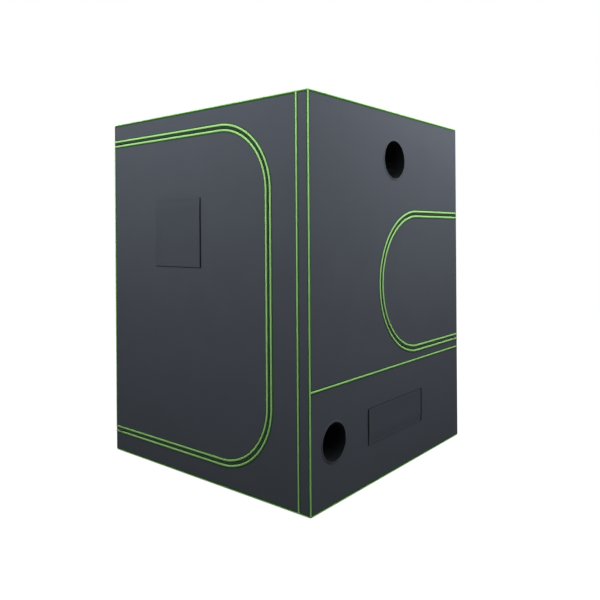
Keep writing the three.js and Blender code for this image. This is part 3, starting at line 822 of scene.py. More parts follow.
def thickened(bm, thickness):
    """Gives a sheet its thickness inwards; its inner face takes the second finish."""
    bmesh.ops.solidify(bm, geom=bm.faces[:], thickness=thickness)
    bm.normal_update()
    for face in bm.faces:
        if face.normal.z < -0.5:
            face.material_index = 1


def flat_area(bm):
    """The area of a sheet before it has a thickness."""
    return sum(face.calc_area() for face in bm.faces)


def kept(geometry, kind):
    """The items of one kind among the result of an operator."""
    return [item for item in geometry if isinstance(item, kind)]


def carried(bm, route, section, lift=0.0, closed=False):
    """Carries a section, as points across and out of the wall, along a route."""
    round_it = bm.verts.layers.float.get("round") or bm.verts.layers.float.new("round")
    across = UP.cross(route.first)
    ring, edges = drawn(bm, [route.start + across * s + UP * (n + lift) for s, n in section])
    measured = 0.0
    for corner, here, there in zip(ring, section, section[1:] + section[:1]):
        corner[round_it] = measured
        measured += math.dist(here, there)
    first = list(edges)
    for kind, where, angle, steps in route.legs:
        if kind == "run":
            added = bmesh.ops.extrude_edge_only(bm, edges=edges)["geom"]
            bmesh.ops.translate(bm, verts=kept(added, bmesh.types.BMVert), vec=where)
        else:
            verts = each_once(v for e in edges for v in e.verts)
            added = bmesh.ops.spin(
                bm, geom=verts + edges, cent=where, axis=UP, dvec=(0, 0, 0), angle=angle,
                steps=steps, use_duplicate=False,
            )["geom_last"]
        ring = set(kept(added, bmesh.types.BMVert))
        edges = [e for e in kept(added, bmesh.types.BMEdge) if set(e.verts) <= ring]
    if closed:
        verts = each_once(v for e in first + edges for v in e.verts)
        bmesh.ops.remove_doubles(bm, verts=verts, dist=WELD)
    else:
        bmesh.ops.contextual_create(bm, geom=first)
        bmesh.ops.contextual_create(bm, geom=edges)


def map_along(bm, route, section):
    """Writes the cloth's map as metres along the route and round the section."""
    perimeter = sum(math.dist(a, b) for a, b in zip(section, section[1:] + section[:1]))
    near = nearest([at for _, at, _ in route.line])
    uv = bm.loops.layers.uv["Cloth"]
    round_it = bm.verts.layers.float["round"]
    for face in bm.faces:
        turns = [loop.vert[round_it] for loop in face.loops]
        wraps = max(turns) - min(turns) > perimeter / 2
        for loop, turned in zip(face.loops, turns):
            flat = loop.vert.co.copy()
            flat.z = 0
            length, at, heading = route.line[near.find(flat)[1]]
            if wraps and turned < perimeter / 2:
                turned += perimeter
            loop[uv].uv = (length + (flat - at).dot(heading), turned)


def strip_of(bm, route, section, lift=0.0, closed=False, finish_index=0, stand=None):
    """A section carried along a route, mapped and with its faces outwards."""
    part = new_mesh()
    carried(part, route, section, lift, closed)
    outwards(part)
    map_along(part, route, section)
    for face in part.faces:
        face.material_index = finish_index
    if stand:
        part.transform(stand)
    add_to(bm, part)


def flange_strip(bm, route, inner, outer, high, lift=0.0, closed=False, stand=None):
    """A flat tape sewn on the cloth between two distances from a route, up to a height. It takes
    its piece's second finish."""
    soft = math.copysign(TAPE_SOFT, outer - inner)
    section = [
        (inner, TAPE_FOOT), (outer, TAPE_FOOT), (outer, high * TAPE_SHOULDER),
        (outer - soft, high), (inner + soft, high), (inner, high * TAPE_SHOULDER),
    ]
    strip_of(bm, route, section, lift, closed, 1, stand)


def cord_section(radius, sides=16):
    """A round section that starts on its inner side."""
    return circle(0, 0, radius, sides, -QUARTER)


def welt_section(width, rise, middle=0.0, steps=14):
    """A welt sewn into a seam: a broad round crown that laps over the cloth on a narrow root."""
    left, right = middle - WELT_ROOT / 2, middle + WELT_ROOT / 2
    points = [(left, WELT_FOOT), (left, -SKIN), (right, -SKIN), (right, WELT_FOOT)]
    for step in range(steps + 1):
        angle = math.pi * step / steps
        height = WELT_FOOT + (rise - WELT_FOOT) * math.sin(angle) ** WELT_CROWN
        points.append((middle + width / 2 * math.cos(angle), height))
    return points


def cord_ring(name, side, look, body, route, radius, height):
    """A piece of its own: a cord round a closed route, at a height off the wall."""
    bm = new_mesh()
    strip_of(bm, route, cord_section(radius, 10), height, closed=True)
    piece(bm, name, side, [look], body, (), 80)


def beads(bm, points, pitch, size, batch=48):
    """A row of small rounded beads along points, each of a size along, across and outwards.
    They are made in batches, because a bead takes longer to add to a large mesh."""
    spots = []
    travelled = pitch / 2
    for here, there in zip(points, points[1:]):
        distance = (there - here).length
        if distance > 0:
            heading = (there - here) / distance
            while travelled < distance:
                spots.append((here + heading * travelled, heading))
                travelled += pitch
            travelled -= distance
    for first in range(0, len(spots), batch):
        part = new_mesh()
        for centre, heading in spots[first:first + batch]:
            axes = (heading * size[0] / 2, UP.cross(heading) * size[1] / 2, UP * size[2] / 2)
            shape = Matrix.Translation(centre) @ Matrix(axes).transposed().to_4x4()
            bmesh.ops.create_icosphere(part, subdivisions=1, radius=1.0, matrix=shape)
        add_to(bm, part)


def stitched(name, side, body, rows):
    """A piece of sewing thread: rows of points and heights on one wall."""
    bm = new_mesh()
    pitch = bpy.context.scene.tent_cloth.stitch
    size = (STITCH_SHARE * pitch, STITCH_WIDTH, STITCH_HEIGHT)
    for points, height in rows:
        beads(bm, [Vector((p[0], p[1], height)) for p in points], pitch, size)
    return piece(bm, name, side, ["thread"], body)


# Walls, roof and floor

def panel(name, side, edge, holes=(), seed=1.0, slack=1.0, body="shell", extra=()):
    """A stretched panel of lined cloth that stands for the node of its name."""
    cloth = bpy.context.scene.tent_cloth
    bm = cut_cloth(edge, holes, cloth.spacing, extra)
    area = flat_area(bm)
    hang(bm, cloth.slack * slack, seed)
    thickened(bm, SKIN)
    made = piece(bm, name + "_cloth", side, ["oxford", "film"], body, [name])
    return made


def whole_panel(name, side, holes=(), seed=1.0, corner=GAP, steps=1, slack=1.0):
    """A panel that fills its node's box."""
    panel(name, side, rounded(box_on(side, name), corner, steps), holes, seed, slack)


def wall_round(door, node):
    """A wall's outline round a door, from its zip to its far edge."""
    left, right, low, high = box_on(door.side, node)
    near = door.hinge + door.toward * door.start
    far = right if door.toward > 0 else left
    edge = zip_edge(door, door.start, WELT_REACH + GAP)
    return edge + [(near, low), (far, low), (far, high), (near, high)]


def port_bore(side, node):
    """The middle and radius of a duct port's bore, inside its flange."""
    left, right, low, high = box_on(side, node)
    return (left + right) / 2, (low + high) / 2, (high - low) / 2 - FLANGE


def port_hole(side, node):
    """The hole that a wall has for a duct port."""
    x, y, radius = port_bore(side, node)
    return circle(x, y, radius + GAP)


def vent_box(side):
    """The opening behind a vent flap."""
    return grown(box_on(side, side + "_vent_flap"), -VENT_MARGIN)


def vent_hole(side):
    """The hole that a wall has behind its vent flap."""
    return rounded(vent_box(side), VENT_CORNER)


def window_box():
    """The opening behind the window flap."""
    return grown(box_on("front", "window_flap"), -FLAP_MARGIN)


class TENT_OT_walls(bpy.types.Operator):
    """Makes the fixed walls, the corner strip, the roof and the floor"""

    bl_idname = "tent.walls"
    bl_label = "Walls, roof and floor"

    def execute(self, context):
        """Cuts and hangs each panel."""
        panel("front_wall", "front", wall_round(MAIN, "front_wall"), seed=1.5)
        whole_panel("front_corner_strip", "front", seed=2.5)
        hole = port_hole("right", "right_upper_duct_sleeve")
        edge = wall_round(SIDE, "right_wall_upper")
        panel("right_wall_upper", "right", edge, [hole], 3.5)
        holes = [port_hole("right", "right_lower_duct_sleeve"), vent_hole("right")]
        whole_panel("right_wall_lower", "right", holes, 4.5)
        whole_panel("back_wall", "back", seed=5.5)
        holes = [port_hole("left", "left_upper_duct_sleeve"), vent_hole("left")]
        whole_panel("left_wall", "left", holes, 6.5)
        whole_panel("roof", "roof", (), 7.5, ROOF_CORNER, 8, slack=0.8)
        whole_panel("floor_panel", "floor", (), 8.5, ROOF_CORNER, 8, slack=0)
        return {"FINISHED"}


class TENT_OT_doors(bpy.types.Operator):
    """Makes the two zipped doors"""

    bl_idname = "tent.doors"
    bl_label = "Doors"

    def execute(self, context):
        """Cuts each door inside its zip and lets its hinge edge bend."""
        start = box_on("front", "main_door")[0] - MAIN.hinge
        self.door("main_door", MAIN, start, [rounded(window_box(), WINDOW_CORNER)], 9.5)
        self.door("side_door", SIDE, SIDE.start, [], 10.5)
        return {"FINISHED"}

    def door(self, name, door, start, holes, seed):
        """One door, which follows the wall at its hinge and swings beyond the fold."""
        edge = zip_edge(door, start, -WELT_REACH - GAP)
        folds = [HINGE_FOLD * row / HINGE_ROWS for row in range(1, HINGE_ROWS + 1)]
        rows = [(0, door.hinge + door.toward * (start + fold)) for fold in folds]
        made = panel(name, door.side, edge, holes, seed, body=None, extra=rows)
        near = door.hinge + door.toward * start
        far = near + door.toward * HINGE_FOLD
        ends = [placed(door.side) @ Vector((x, 0, 0)) for x in (near, far)]
        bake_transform(made, "shell", name, start=ends[0], end=ends[1])


class TENT_OT_piping(bpy.types.Operator):
    """Makes the green piping of the box edges and flat seams"""

    bl_idname = "tent.piping"
    bl_label = "Piping"

    # Where a seam is sewn, as a share of its flange's width, and where the roof's flange starts
    # under its cord, as a share of the cord's radius
    sewn = 0.45
    under_cord = 0.9

    def execute(self, context):
        """Runs each cord along its edge."""
        self.ring("roof_piping", CORD, TOP - RING_DROP, -1)
        self.ring("floor_piping", FLOOR_CORD, WALL_LOW - FLOOR_DROP, 1)
        self.upright("corner_piping", (("front", -1), ("right", 1)))
        self.upright("door_hinge_piping", (("front", 1), ("left", -1)))
        left, right, low, high = box_on("front", "strip_piping")
        self.seam("strip_piping", "front", Route((left + right) / 2, low, (0, 1)), high - low)
        left, right, low, high = box_on("right", "wall_seam_piping")
        self.seam("wall_seam_piping", "right", Route(left, (low + high) / 2, (1, 0)), right - left)
        return {"FINISHED"}

    def finished(self, bm, name, side):
        """Stands a run of piping for its node."""
        # The floor cord takes the darker cover, painted shade along the floor
        cover = "floor_piping" if name == "floor_piping" else "piping"
        piece(bm, name + "_cord", side, [cover, "flange"], "shell", [name], 60)

    def ring(self, name, radius, edge, sign):
        """A cord round the four edges of the roof or floor, with its flange on each wall."""
        low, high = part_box(name)
        facet_share = math.cos(math.pi / 8)
        route = ring_route((high[0] - low[0]) / 2 - radius * facet_share, RING_CORNER)
        bm = new_mesh()
        strip_of(bm, route, cord_section(radius), (low[2] + high[2]) / 2, closed=True)
        for wall in WALL_TURNS:
            run = Route(FLANGE_CLEAR - HALF, edge, (1, 0)).run(2 * (HALF - FLANGE_CLEAR))
            flange_strip(bm, run, 0, sign * FLANGE_TAPE, RING_LAP, stand=placed(wall))
        if name == "roof_piping":
            reach = RING_CORNER - TAPE_SOFT
            flange_strip(bm, route, radius * self.under_cord, reach, RING_LAP, TOP, True)
        self.finished(bm, name, "tent")

    def upright(self, name, walls):
        """A cord up one corner, with its flange on both walls."""
        low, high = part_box(name)
        bm = new_mesh()
        stand = placed(walls[0][0])
        middle = stand.inverted() @ ((Vector(low) + Vector(high)) / 2)
        route = Route(middle.x, low[2], (0, 1)).run(high[2] - low[2])
        strip_of(bm, route, cord_section(CORD), middle.z, stand=stand)
        for wall, sign in walls:
            run = Route(-sign * (HALF - CORNER_INSET), FLANGE_CLEAR, (0, 1))
            run.run(TOP - 2 * FLANGE_CLEAR)
            flange_strip(bm, run, 0, -sign * FLANGE_TAPE, CORNER_LAP, stand=placed(wall))
        self.finished(bm, name, "tent")

    def seam(self, name, side, route, length):
        """A welt along a flat seam, between two flanges."""
        route.run(length)
        bm = new_mesh()
        strip_of(bm, route, welt_section(SEAM_WELT, SEAM_RISE))
        edge = SEAM_WELT / 2 - FLANGE_TUCK
        for sign in (-1, 1):
            flange_strip(bm, route, sign * edge, sign * (edge + FLANGE_TAPE), SEAM_LAP)
        self.finished(bm, name, side)
        sewn = SEAM_WELT / 2 + FLANGE_TAPE * self.sewn
        rows = [(route.beside(offset), SEAM_LAP + THREAD_LIFT) for offset in (-sewn, sewn)]
        stitched(name + "_stitches", side, "shell", rows)


class TENT_OT_zips(bpy.types.Operator):
    """Makes the zips: welts, tapes, coils and their stitches"""

    bl_idname = "tent.zips"
    bl_label = "Zips"

    # Where the flange is sewn, as a share of its width, the share of the coil's pitch that a turn
    # fills, and the cord inside the coil as shares of the coil's gap, width and rise
    sewn = 0.55
    turn_share = 0.84
    cord_gap = 1.4
    cord_width = 0.9
    cord_rise = 0.45
    stop_soft = 0.8 * MM

    def execute(self, context):
        """Runs both halves of each zip round its door."""
        for name, door in (("main", MAIN), ("side", SIDE)):
            runs = [(zip_route(door, door.start), door.toward)] + self.stubs(door)
            self.half(name + "_zip_wall", door, "shell", runs)
            runs = [(zip_route(door, HINGE_TAPE + GAP), -door.toward)]
            self.half(name + "_zip_door", door, name + "_door", runs)
        return {"FINISHED"}

    def stubs(self, door):
        """The door's tape beside the hinge, which stays sewn to the wall."""
        near, length = door.hinge + door.toward * door.start, HINGE_TAPE - door.start
        ends = ((door.high, -door.toward), (door.low, door.toward))
        return [(Route(near, y, (door.toward, 0)).run(length), side) for y, side in ends]

    def half(self, name, door, body, runs):
        """One half of a zip, as routes, each with the sign of the half's side of it."""
        pitch = bpy.context.scene.tent_trim.tooth
        welts, tapes, coils, rows = new_mesh(), new_mesh(), new_mesh(), []
        for route, side in runs:
            middle = side * WELT_SPACING / 2
            strip_of(welts, route, welt_section(ZIP_WELT, WELT_RISE, middle))
            edge = middle + side * (ZIP_WELT / 2 - FLANGE_TUCK)
            flange_strip(welts, route, edge, edge + side * FLANGE_TAPE, ZIP_LAP)
            strip_of(tapes, route, self.tape(side))
            strip_of(tapes, route, self.cord(side))
            self.teeth(coils, route, side * (COIL_GAP + COIL_WIDTH / 2), pitch)
            sewn = edge + side * FLANGE_TAPE * self.sewn
            rows.append((route.beside(sewn), ZIP_LAP + THREAD_LIFT))
            rows.append((route.beside(side * SLIDER_CLEAR), THREAD_LIFT - TAPE_SINK))
        if body == "shell":
            self.stops(coils, door)
        node = [name + "_half"]
        piece(welts, name + "_welt", door.side, ["piping", "flange"], body, node, 60)
        piece(tapes, name + "_tape", door.side, ["tape"], body, node)
        piece(coils, name + "_coil", door.side, ["coil"], body, node, 60)
        stitched(name + "_stitches", door.side, body, rows)

    def tape(self, side):
        """The woven tape between the coil and the welt."""
        inner = side * (COIL_GAP + COIL_WIDTH)
        outer = side * (WELT_SPACING - WELT_ROOT) / 2
        return [(inner, -SKIN), (outer, -SKIN), (outer, -TAPE_SINK), (inner, -TAPE_SINK)]

    def cord(self, side):
        """The cord inside the coil, low between the turns."""
        inner = side * COIL_GAP * self.cord_gap
        outer = side * (COIL_GAP + COIL_WIDTH * self.cord_width)
        top = COIL_RISE * self.cord_rise
        return [(inner, -SKIN), (outer, -SKIN), (outer, top), (inner, top)]

    def teeth(self, bm, route, offset, pitch):
        """The turns of the coil, each a rounded bar across the cord."""
        points = [point + UP * (COIL_RISE - SKIN) / 2 for point in route.beside(offset)]
        beads(bm, points, pitch, (self.turn_share * pitch, COIL_WIDTH, COIL_RISE + SKIN))

    def stops(self, bm, door):
        """The moulded stops where both tapes end at the hinge."""
        near = door.hinge + door.toward * door.start
        far, reach = near + door.toward * END_STOP, COIL_GAP + COIL_WIDTH
        for y in (door.high, door.low):
            block(bm, (near, y - reach, -SKIN), (far, y + reach, COIL_RISE), self.stop_soft)


# Window and vents

def bound_opening(name, side, box, corner, body):
    """Binding round an opening: a flat ring sewn over the edge of the cloth."""
    bm = new_mesh()
    rings = []
    for out, heights in ((BINDING_OUT, BINDING_HEIGHTS), (-BINDING_IN, BINDING_HEIGHTS[::-1])):
        for height in heights:
            rings.append(outline(bm, rounded(grown(box, out), corner + out), height))
    for ring, beside in zip(rings, rings[1:] + rings[:1]):
        bmesh.ops.bridge_loops(bm, edges=ring + beside)
    outwards(bm)
    map_flat(bm)
    piece(bm, name, side, ["hook"], body)


def inside_flap(flap, x, y):
    """How far a point lies from the nearest edge of a flap that isn't sewn."""
    left, right = flap.box[:2]
    return min(x - left, right - x, (flap.far - y) * flap.up)


def flap_height(flap, x, y):
    """How far a flap's inner face stands off the wall at a point."""
    sewn = (y - flap.seam) * flap.up
    rise = FLAP_REST * smooth_step(sewn / FLAP_RISE)
    free = inside_flap(flap, x, y) - TAPE_WIDTH
    middle = smooth_step(free / DIP_EASE) * smooth_step(sewn / DIP_START)
    ripple = unevenness(x, y, FLAP_WAVES, FLAP_SEED) * FLAP_RIPPLE
    return max(FLAP_LEAST, rise - middle * (FLAP_DIP - ripple))


def tape_round(flap, ending, layer, body):
    """Hook or loop tape along the free edges of a flap."""
    inset, bottom, top = layer
    left, right = flap.box[0] + inset, flap.box[1] - inset
    near = flap.seam + flap.up * (FLAP_RISE + TAPE_CLEAR)
    far = flap.far - flap.up * inset
    inner = (left + TAPE_WIDTH, right - TAPE_WIDTH)
    bars = [(left, inner[0], near), (inner[1], right, near)]
    bars.append((inner[0] + GAP, inner[1] - GAP, far - flap.up * TAPE_WIDTH))
    bm = new_mesh()
    for x0, x1, y in bars:
        block(bm, (x0, y, bottom), (x1, far, top), (top - bottom) * LAYER_SOFT)
    piece(bm, flap.name + ending, flap.side, ["hook"], body)


def bind(bm, flap, edge, width):
    """Black binding folded round one edge of a flap, following it down to its sewn edge. It paints a shadow
    line along that edge.
    """
    left, right, low, high = flap.box
    start, heading, length = {
        "high": ((right, high), (-1, 0), right - left),
        "left": ((left, high), (0, -1), high - low),
        "right": ((right, low), (0, 1), high - low),
    }[edge]
    route = Route(*start, heading)
    for _ in range(BINDING_ROWS):
        route.run(length / BINDING_ROWS)
    under, over = -BINDING_LAP, FLAP_CLOTH + HEM_RISE + BINDING_LAP
    section = [
        (-BINDING_OVER, under + BINDING_SOFT), (0, under), (width, under),
        (width, over - BINDING_SOFT), (width - TAPE_SOFT, over), (0, over),
        (-BINDING_OVER, over - TAPE_SOFT),
    ]
    part = new_mesh()
    strip_of(part, route, section)
    for v in part.verts:
        x = min(max(v.co.x, left), right)
        y = min(max(v.co.y, low), high)
        v.co.z += flap_height(flap, x, y)
    add_to(bm, part)


def hung_flap(name, side, parent, up, shadow_bindings):
    """A flap with its tapes, its stitches and a black binding on some edges, which paints a shadow line
    along each. It is sewn to its parent along its low edge where up is 1, and along its high edge
    where up is -1."""
    left, right, low, high = box = box_on(side, name)
    seam, far = (low, high) if up > 0 else (high, low)
    flap = Flap(name, side, box, seam, far, up)
    lines = [(0, left + HEM), (0, right - HEM), (1, low + HEM), (1, high - HEM)]
    bm = cut_cloth(rounded(box, FLAP_CORNER), (), FLAP_MESH, lines)
    area = flat_area(bm)
    for v in bm.verts:
        hemmed = 1 - smooth_step((inside_flap(flap, v.co.x, v.co.y) - HEM) / HEM_STEP)
        v.co.z = flap_height(flap, v.co.x, v.co.y) + FLAP_CLOTH + HEM_RISE * hemmed
    thickened(bm, FLAP_CLOTH)
    # The flap's cloth is the darker flap shade, painted shade
    made = piece(bm, name + "_cloth", side, ["flap", "film"], None, [name])
    middle = (left + right) / 2
    near, end = (placed(side) @ Vector((middle, y, 0)) for y in (seam, seam + up * FLAP_FOLD))
    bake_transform(made, parent, name, start=near, end=end)
    tape_round(flap, "_loop_tape", LOOP_LAYER, parent)
    tape_round(flap, "_hook_tape", HOOK_LAYER, name)
    # Black bindings on the flap's edges, painting the shadow lines along them
    bm = new_mesh()
    for edge, width in shadow_bindings:
        bind(bm, flap, edge, width)
    binding = piece(bm, name + "_binding", side, ["hook"])
    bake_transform(binding, parent, name, start=near, end=end)
    left, right = left + STITCH_INSET, right - STITCH_INSET
    first, last = seam + up * STITCH_START, far - up * STITCH_INSET
    path = [(left, first), (left, last), (right, last), (right, first)]
    stitched(name + "_stitches", side, name, [(path, FLAP_REST + FLAP_CLOTH + HEM_RISE)])
    sewn = seam + up * SEAM_STITCH
    height = flap_height(flap, middle, sewn) + FLAP_CLOTH + HEM_RISE * SEAM_SHARE
    path = [(left, sewn), (right, sewn)]
    stitched(name + "_seam_stitches", side, parent, [(path, height)])


class TENT_OT_window(bpy.types.Operator):
    """Makes the window's film, its binding and its flap"""

    bl_idname = "tent.window"
    bl_label = "Window"

    # The edges of the flap that carry a black binding, with the width of each. The binding paints a
    #     # shadow line along the right edge, darker than the real shadow in the gap under the raised edge.
    shadow_bindings = (("right", 6.5 * MM),)

    def execute(self, context):
        """Sets the film behind the opening and the flap before it."""
        bound_opening("window_binding", "front", window_box(), WINDOW_CORNER, "main_door")
        left, right, low, high = box = box_on("front", "window_pane")
        outer, inner = (corner[1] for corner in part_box("window_pane"))
        bm = cut_cloth(rounded(box, WINDOW_CORNER), (), PANE_MESH)
        area = flat_area(bm)
        for v in bm.verts:
            v.co.z = -HALF - outer
        bmesh.ops.solidify(bm, geom=bm.faces[:], thickness=inner - outer)
        made = piece(bm, "window_film", "front", ["window"], "main_door", ["window_pane"])
        hung_flap("window_flap", "front", "main_door", -1, self.shadow_bindings)
        return {"FINISHED"}


class TENT_OT_vents(bpy.types.Operator):
    """Makes the mesh, binding and flap of each vent"""

    bl_idname = "tent.vents"
    bl_label = "Vents"

    # The mesh's threads: how thick, how far apart, how many sides, and the share of its thickness
    # by which one passes over or under another
    thread = 1.0 * MM
    pitch = 6 * MM
    thread_sides = 6
    over = 0.4

    # The edges of a flap that carry a black binding, with the width of each. The bindings paint the
    #     # shadow lines along its free edges: the left one beside the real shadow of the raised edge, the
    #     # right one wider where no real shadow shows, and a faint one along the top.
    shadow_bindings = (("left", 5 * MM), ("right", 13 * MM), ("high", 0.9 * MM))

    def execute(self, context):
        """Stretches a mesh behind each vent and hangs its flap."""
        for side, wall in (("right", "right_wall_lower_cloth"), ("left", "left_wall_cloth")):
            self.netting(side, wall)
            bound_opening(side + "_vent_binding", side, vent_box(side), VENT_CORNER, "shell")
            hung_flap(side + "_vent_flap", side, "shell", 1, self.shadow_bindings)
        return {"FINISHED"}

    def netting(self, side, wall):
        """A woven mesh of coated threads, drawn coarser than the real one so that it shows."""
        node = side + "_vent_mesh"
        left, right, low, high = box_on(side, node)
        width, height = right - left, high - low
        columns, rows = int(width / self.pitch), int(height / self.pitch)
        bm = new_mesh()
        for row in range(rows):
            at = low + height * (row + 0.5) / rows
            self.thread_across(bm, Route(left, at, (1, 0)), width, columns, row % 2)
        for column in range(columns):
            at = left + width * (column + 0.5) / columns
            self.thread_across(bm, Route(at, low, (0, 1)), height, rows, 1 - column % 2)
        made = piece(bm, node + "_threads", side, ["netting"], "shell", [node], 70)

    def thread_across(self, bm, route, length, crossings, first):
        """One thread of the mesh, over and under the threads that it crosses."""
        step = length / crossings
        route.run(step / 2)
        for _ in range(crossings - 1):
            route.run(step)
        route.run(step / 2)
        section = cord_section(self.thread / 2, self.thread_sides)
        part = new_mesh()
        carried(part, route, section, -SKIN - GAP - self.thread)
        for v in part.verts:
            crossing = round((v.co - route.start).dot(route.first) / step - 0.5)
            v.co.z += self.thread * (self.over if (crossing + first) % 2 else -self.over)
        outwards(part)
        add_to(bm, part)


# Duct sleeves

class TENT_OT_sleeves(bpy.types.Operator):
    """Makes the gathered sleeves of the duct ports"""

    bl_idname = "tent.sleeves"
    bl_label = "Duct sleeves"

    # The sleeve: a straight part, a gather down to the neck and a hem that flares out. Its cloth
    # lies 5 % longer than it is drawn, for the folds.
    straight = 50 * MM
    gather = 150 * MM
    hem = 34 * MM
    neck = 30 * MM
    flare = 46 * MM
    cloth = 0.9 * MM
    take_up = 1.05

    # The straight part from the mouth down: how far inside the bore, the height off the wall and
    # the depth of fold in mm
    mouth = ((0.2 * MM, 0.6 * MM, 0.0), (0.4 * MM, -straight / 2, 0.3), (0.8 * MM, -straight, 0.8))

    # Rings of the gather, and the depth of fold in mm at its start, at the neck and at the hem
    rings = 14
    start_fold = 1.0
    neck_fold = 7.0
    hem_fold = 10.0

    # Uneven folds: they wander round the sleeve, and some are shallower, three times a turn
    wander = 0.9
    wander_waves = (1.4, 1.4)
    wander_seed = 5.5
    shallow = 0.28
    shallow_turns = 3
    shallow_start = 1.0

    # The bound ring's section in mm, out from the bore and off the wall, and its stitches: their
    # share of the flange's width and their height
    bound_section = (
        (-0.2, 0), (FLANGE / MM, 0), (FLANGE / MM, 0.9), (FLANGE / MM - 0.8, 1.5), (1.6, 1.9),
        (0.4, 1.5), (-0.2, 0.7),
    )
    sewn = 0.55
    stitch_height = 1.8 * MM

    # Radii of the elastic and the welt, how far the elastic lies outside the neck and how high the
    # welt lies, and the sides of each round
    elastic = 2.2 * MM
    elastic_out = 6.2 * MM
    welt = 1.3 * MM
    welt_height = 1.6 * MM
    sides = 168
    flange_sides = 128
    neck_sides = 64

    def execute(self, context):
        """Sews a sleeve into each port."""
        for node in ("right_upper", "right_lower", "left_upper"):
            side = node.split("_")[0]
            node += "_duct_sleeve"
            x, y, radius = port_bore(side, node)
            self.sleeve(side, node, x, y, radius)
            self.flange(side, node, x, y, radius)
            self.neck_band(side, node, x, y)
        return {"FINISHED"}

    def profile(self, radius):
        """The sleeve from its mouth to its hem, as radius, height and depth of fold in mm."""
        points = [(radius - inside, height, fold) for inside, height, fold in self.mouth]
        for ring in range(1, self.rings + 1):
            share = ring / self.rings
            narrowed = radius + (self.neck - radius) * smooth_step(share)
            fold = self.start_fold + (self.neck_fold - self.start_fold) * share
            points.append((narrowed, -self.straight - self.gather * share, fold))
        for share in (0.25, 0.5, 0.75, 1.0):
            widened = self.neck + (self.flare - self.neck) * share
            height = -self.straight - self.gather - self.hem * share
            fold = self.neck_fold + (self.hem_fold - self.neck_fold) * share
            points.append((widened, height, fold))
        return points

    def sleeve(self, side, node, x, y, radius):
        """One sleeve, spun and then drawn into folds."""
        flutes = bpy.context.scene.tent_trim.flutes
        profile = self.profile(radius)
        bm = new_mesh()
        fold_of = bm.verts.layers.float.new("fold")
        line, edges = drawn(bm, [(x + r, y, height) for r, height, _ in profile], closed=False)
        for made, (_, _, fold) in zip(line, profile):
            made[fold_of] = fold * MM
        spun(bm, line, edges, (x, y, 0), self.sides)
        for v in bm.verts:
            arm = Vector((v.co.x - x, v.co.y - y, 0))
            angle = math.atan2(arm.y, arm.x)
            place = math.cos(angle), math.sin(angle)
            wander = self.wander * unevenness(*place, self.wander_waves, self.wander_seed)
            dip = self.shallow * math.cos(self.shallow_turns * angle + self.shallow_start)
            swing = (1 - self.shallow + dip) * math.cos(flutes * angle + 2 * wander)
            v.co += arm.normalized() * v[fold_of] * swing
        uv = bm.loops.layers.uv["Cloth"]
        for face in bm.faces:
            angles = [math.atan2(loop.vert.co.y - y, loop.vert.co.x - x) for loop in face.loops]
            wraps = max(angles) - min(angles) > math.pi
            for loop, angle in zip(face.loops, angles):
                turned = angle + 2 * math.pi if wraps and angle < 0 else angle
                loop[uv].uv = (turned * radius, loop.vert.co.z)
        outwards(bm)
        bmesh.ops.solidify(bm, geom=bm.faces[:], thickness=self.cloth)
        made = piece(bm, node + "_cloth", side, ["sleeve"], "shell", [node], 80)

    def flange(self, side, node, x, y, radius):
        """The bound ring that sews the sleeve to the wall, with its welt and stitches."""
        bm = new_mesh()
        section = [(radius + out * MM, GAP + rise * MM) for out, rise in self.bound_section]
        ring = drawn(bm, [(x + out, y, height) for out, height in section])
        spun(bm, *ring, (x, y, 0), self.flange_sides)
        outwards(bm)
        map_flat(bm)
        piece(bm, node + "_flange", side, ["oxford"], "shell")
        route = Route(x, y - radius, (1, 0)).turn(radius, 4 * QUARTER, self.flange_sides)
        cord_ring(node + "_welt", side, "sleeve", "shell", route, self.welt, self.welt_height)
        row = circle(x, y, radius + FLANGE * self.sewn)
        rows = [(row + row[:1], GAP + self.stitch_height)]
        stitched(node + "_stitches", side, "shell", rows)

    def neck_band(self, side, node, x, y):
        """The elastic that holds the neck drawn in."""
        route = Route(x, y - self.neck - self.elastic_out, (1, 0))
        route.turn(self.neck + self.elastic_out, 4 * QUARTER, self.neck_sides)
        height = -self.straight - self.gather
        cord_ring(node + "_elastic", side, "hook", "shell", route, self.elastic, height)


# Tray, poles and carried-over parts

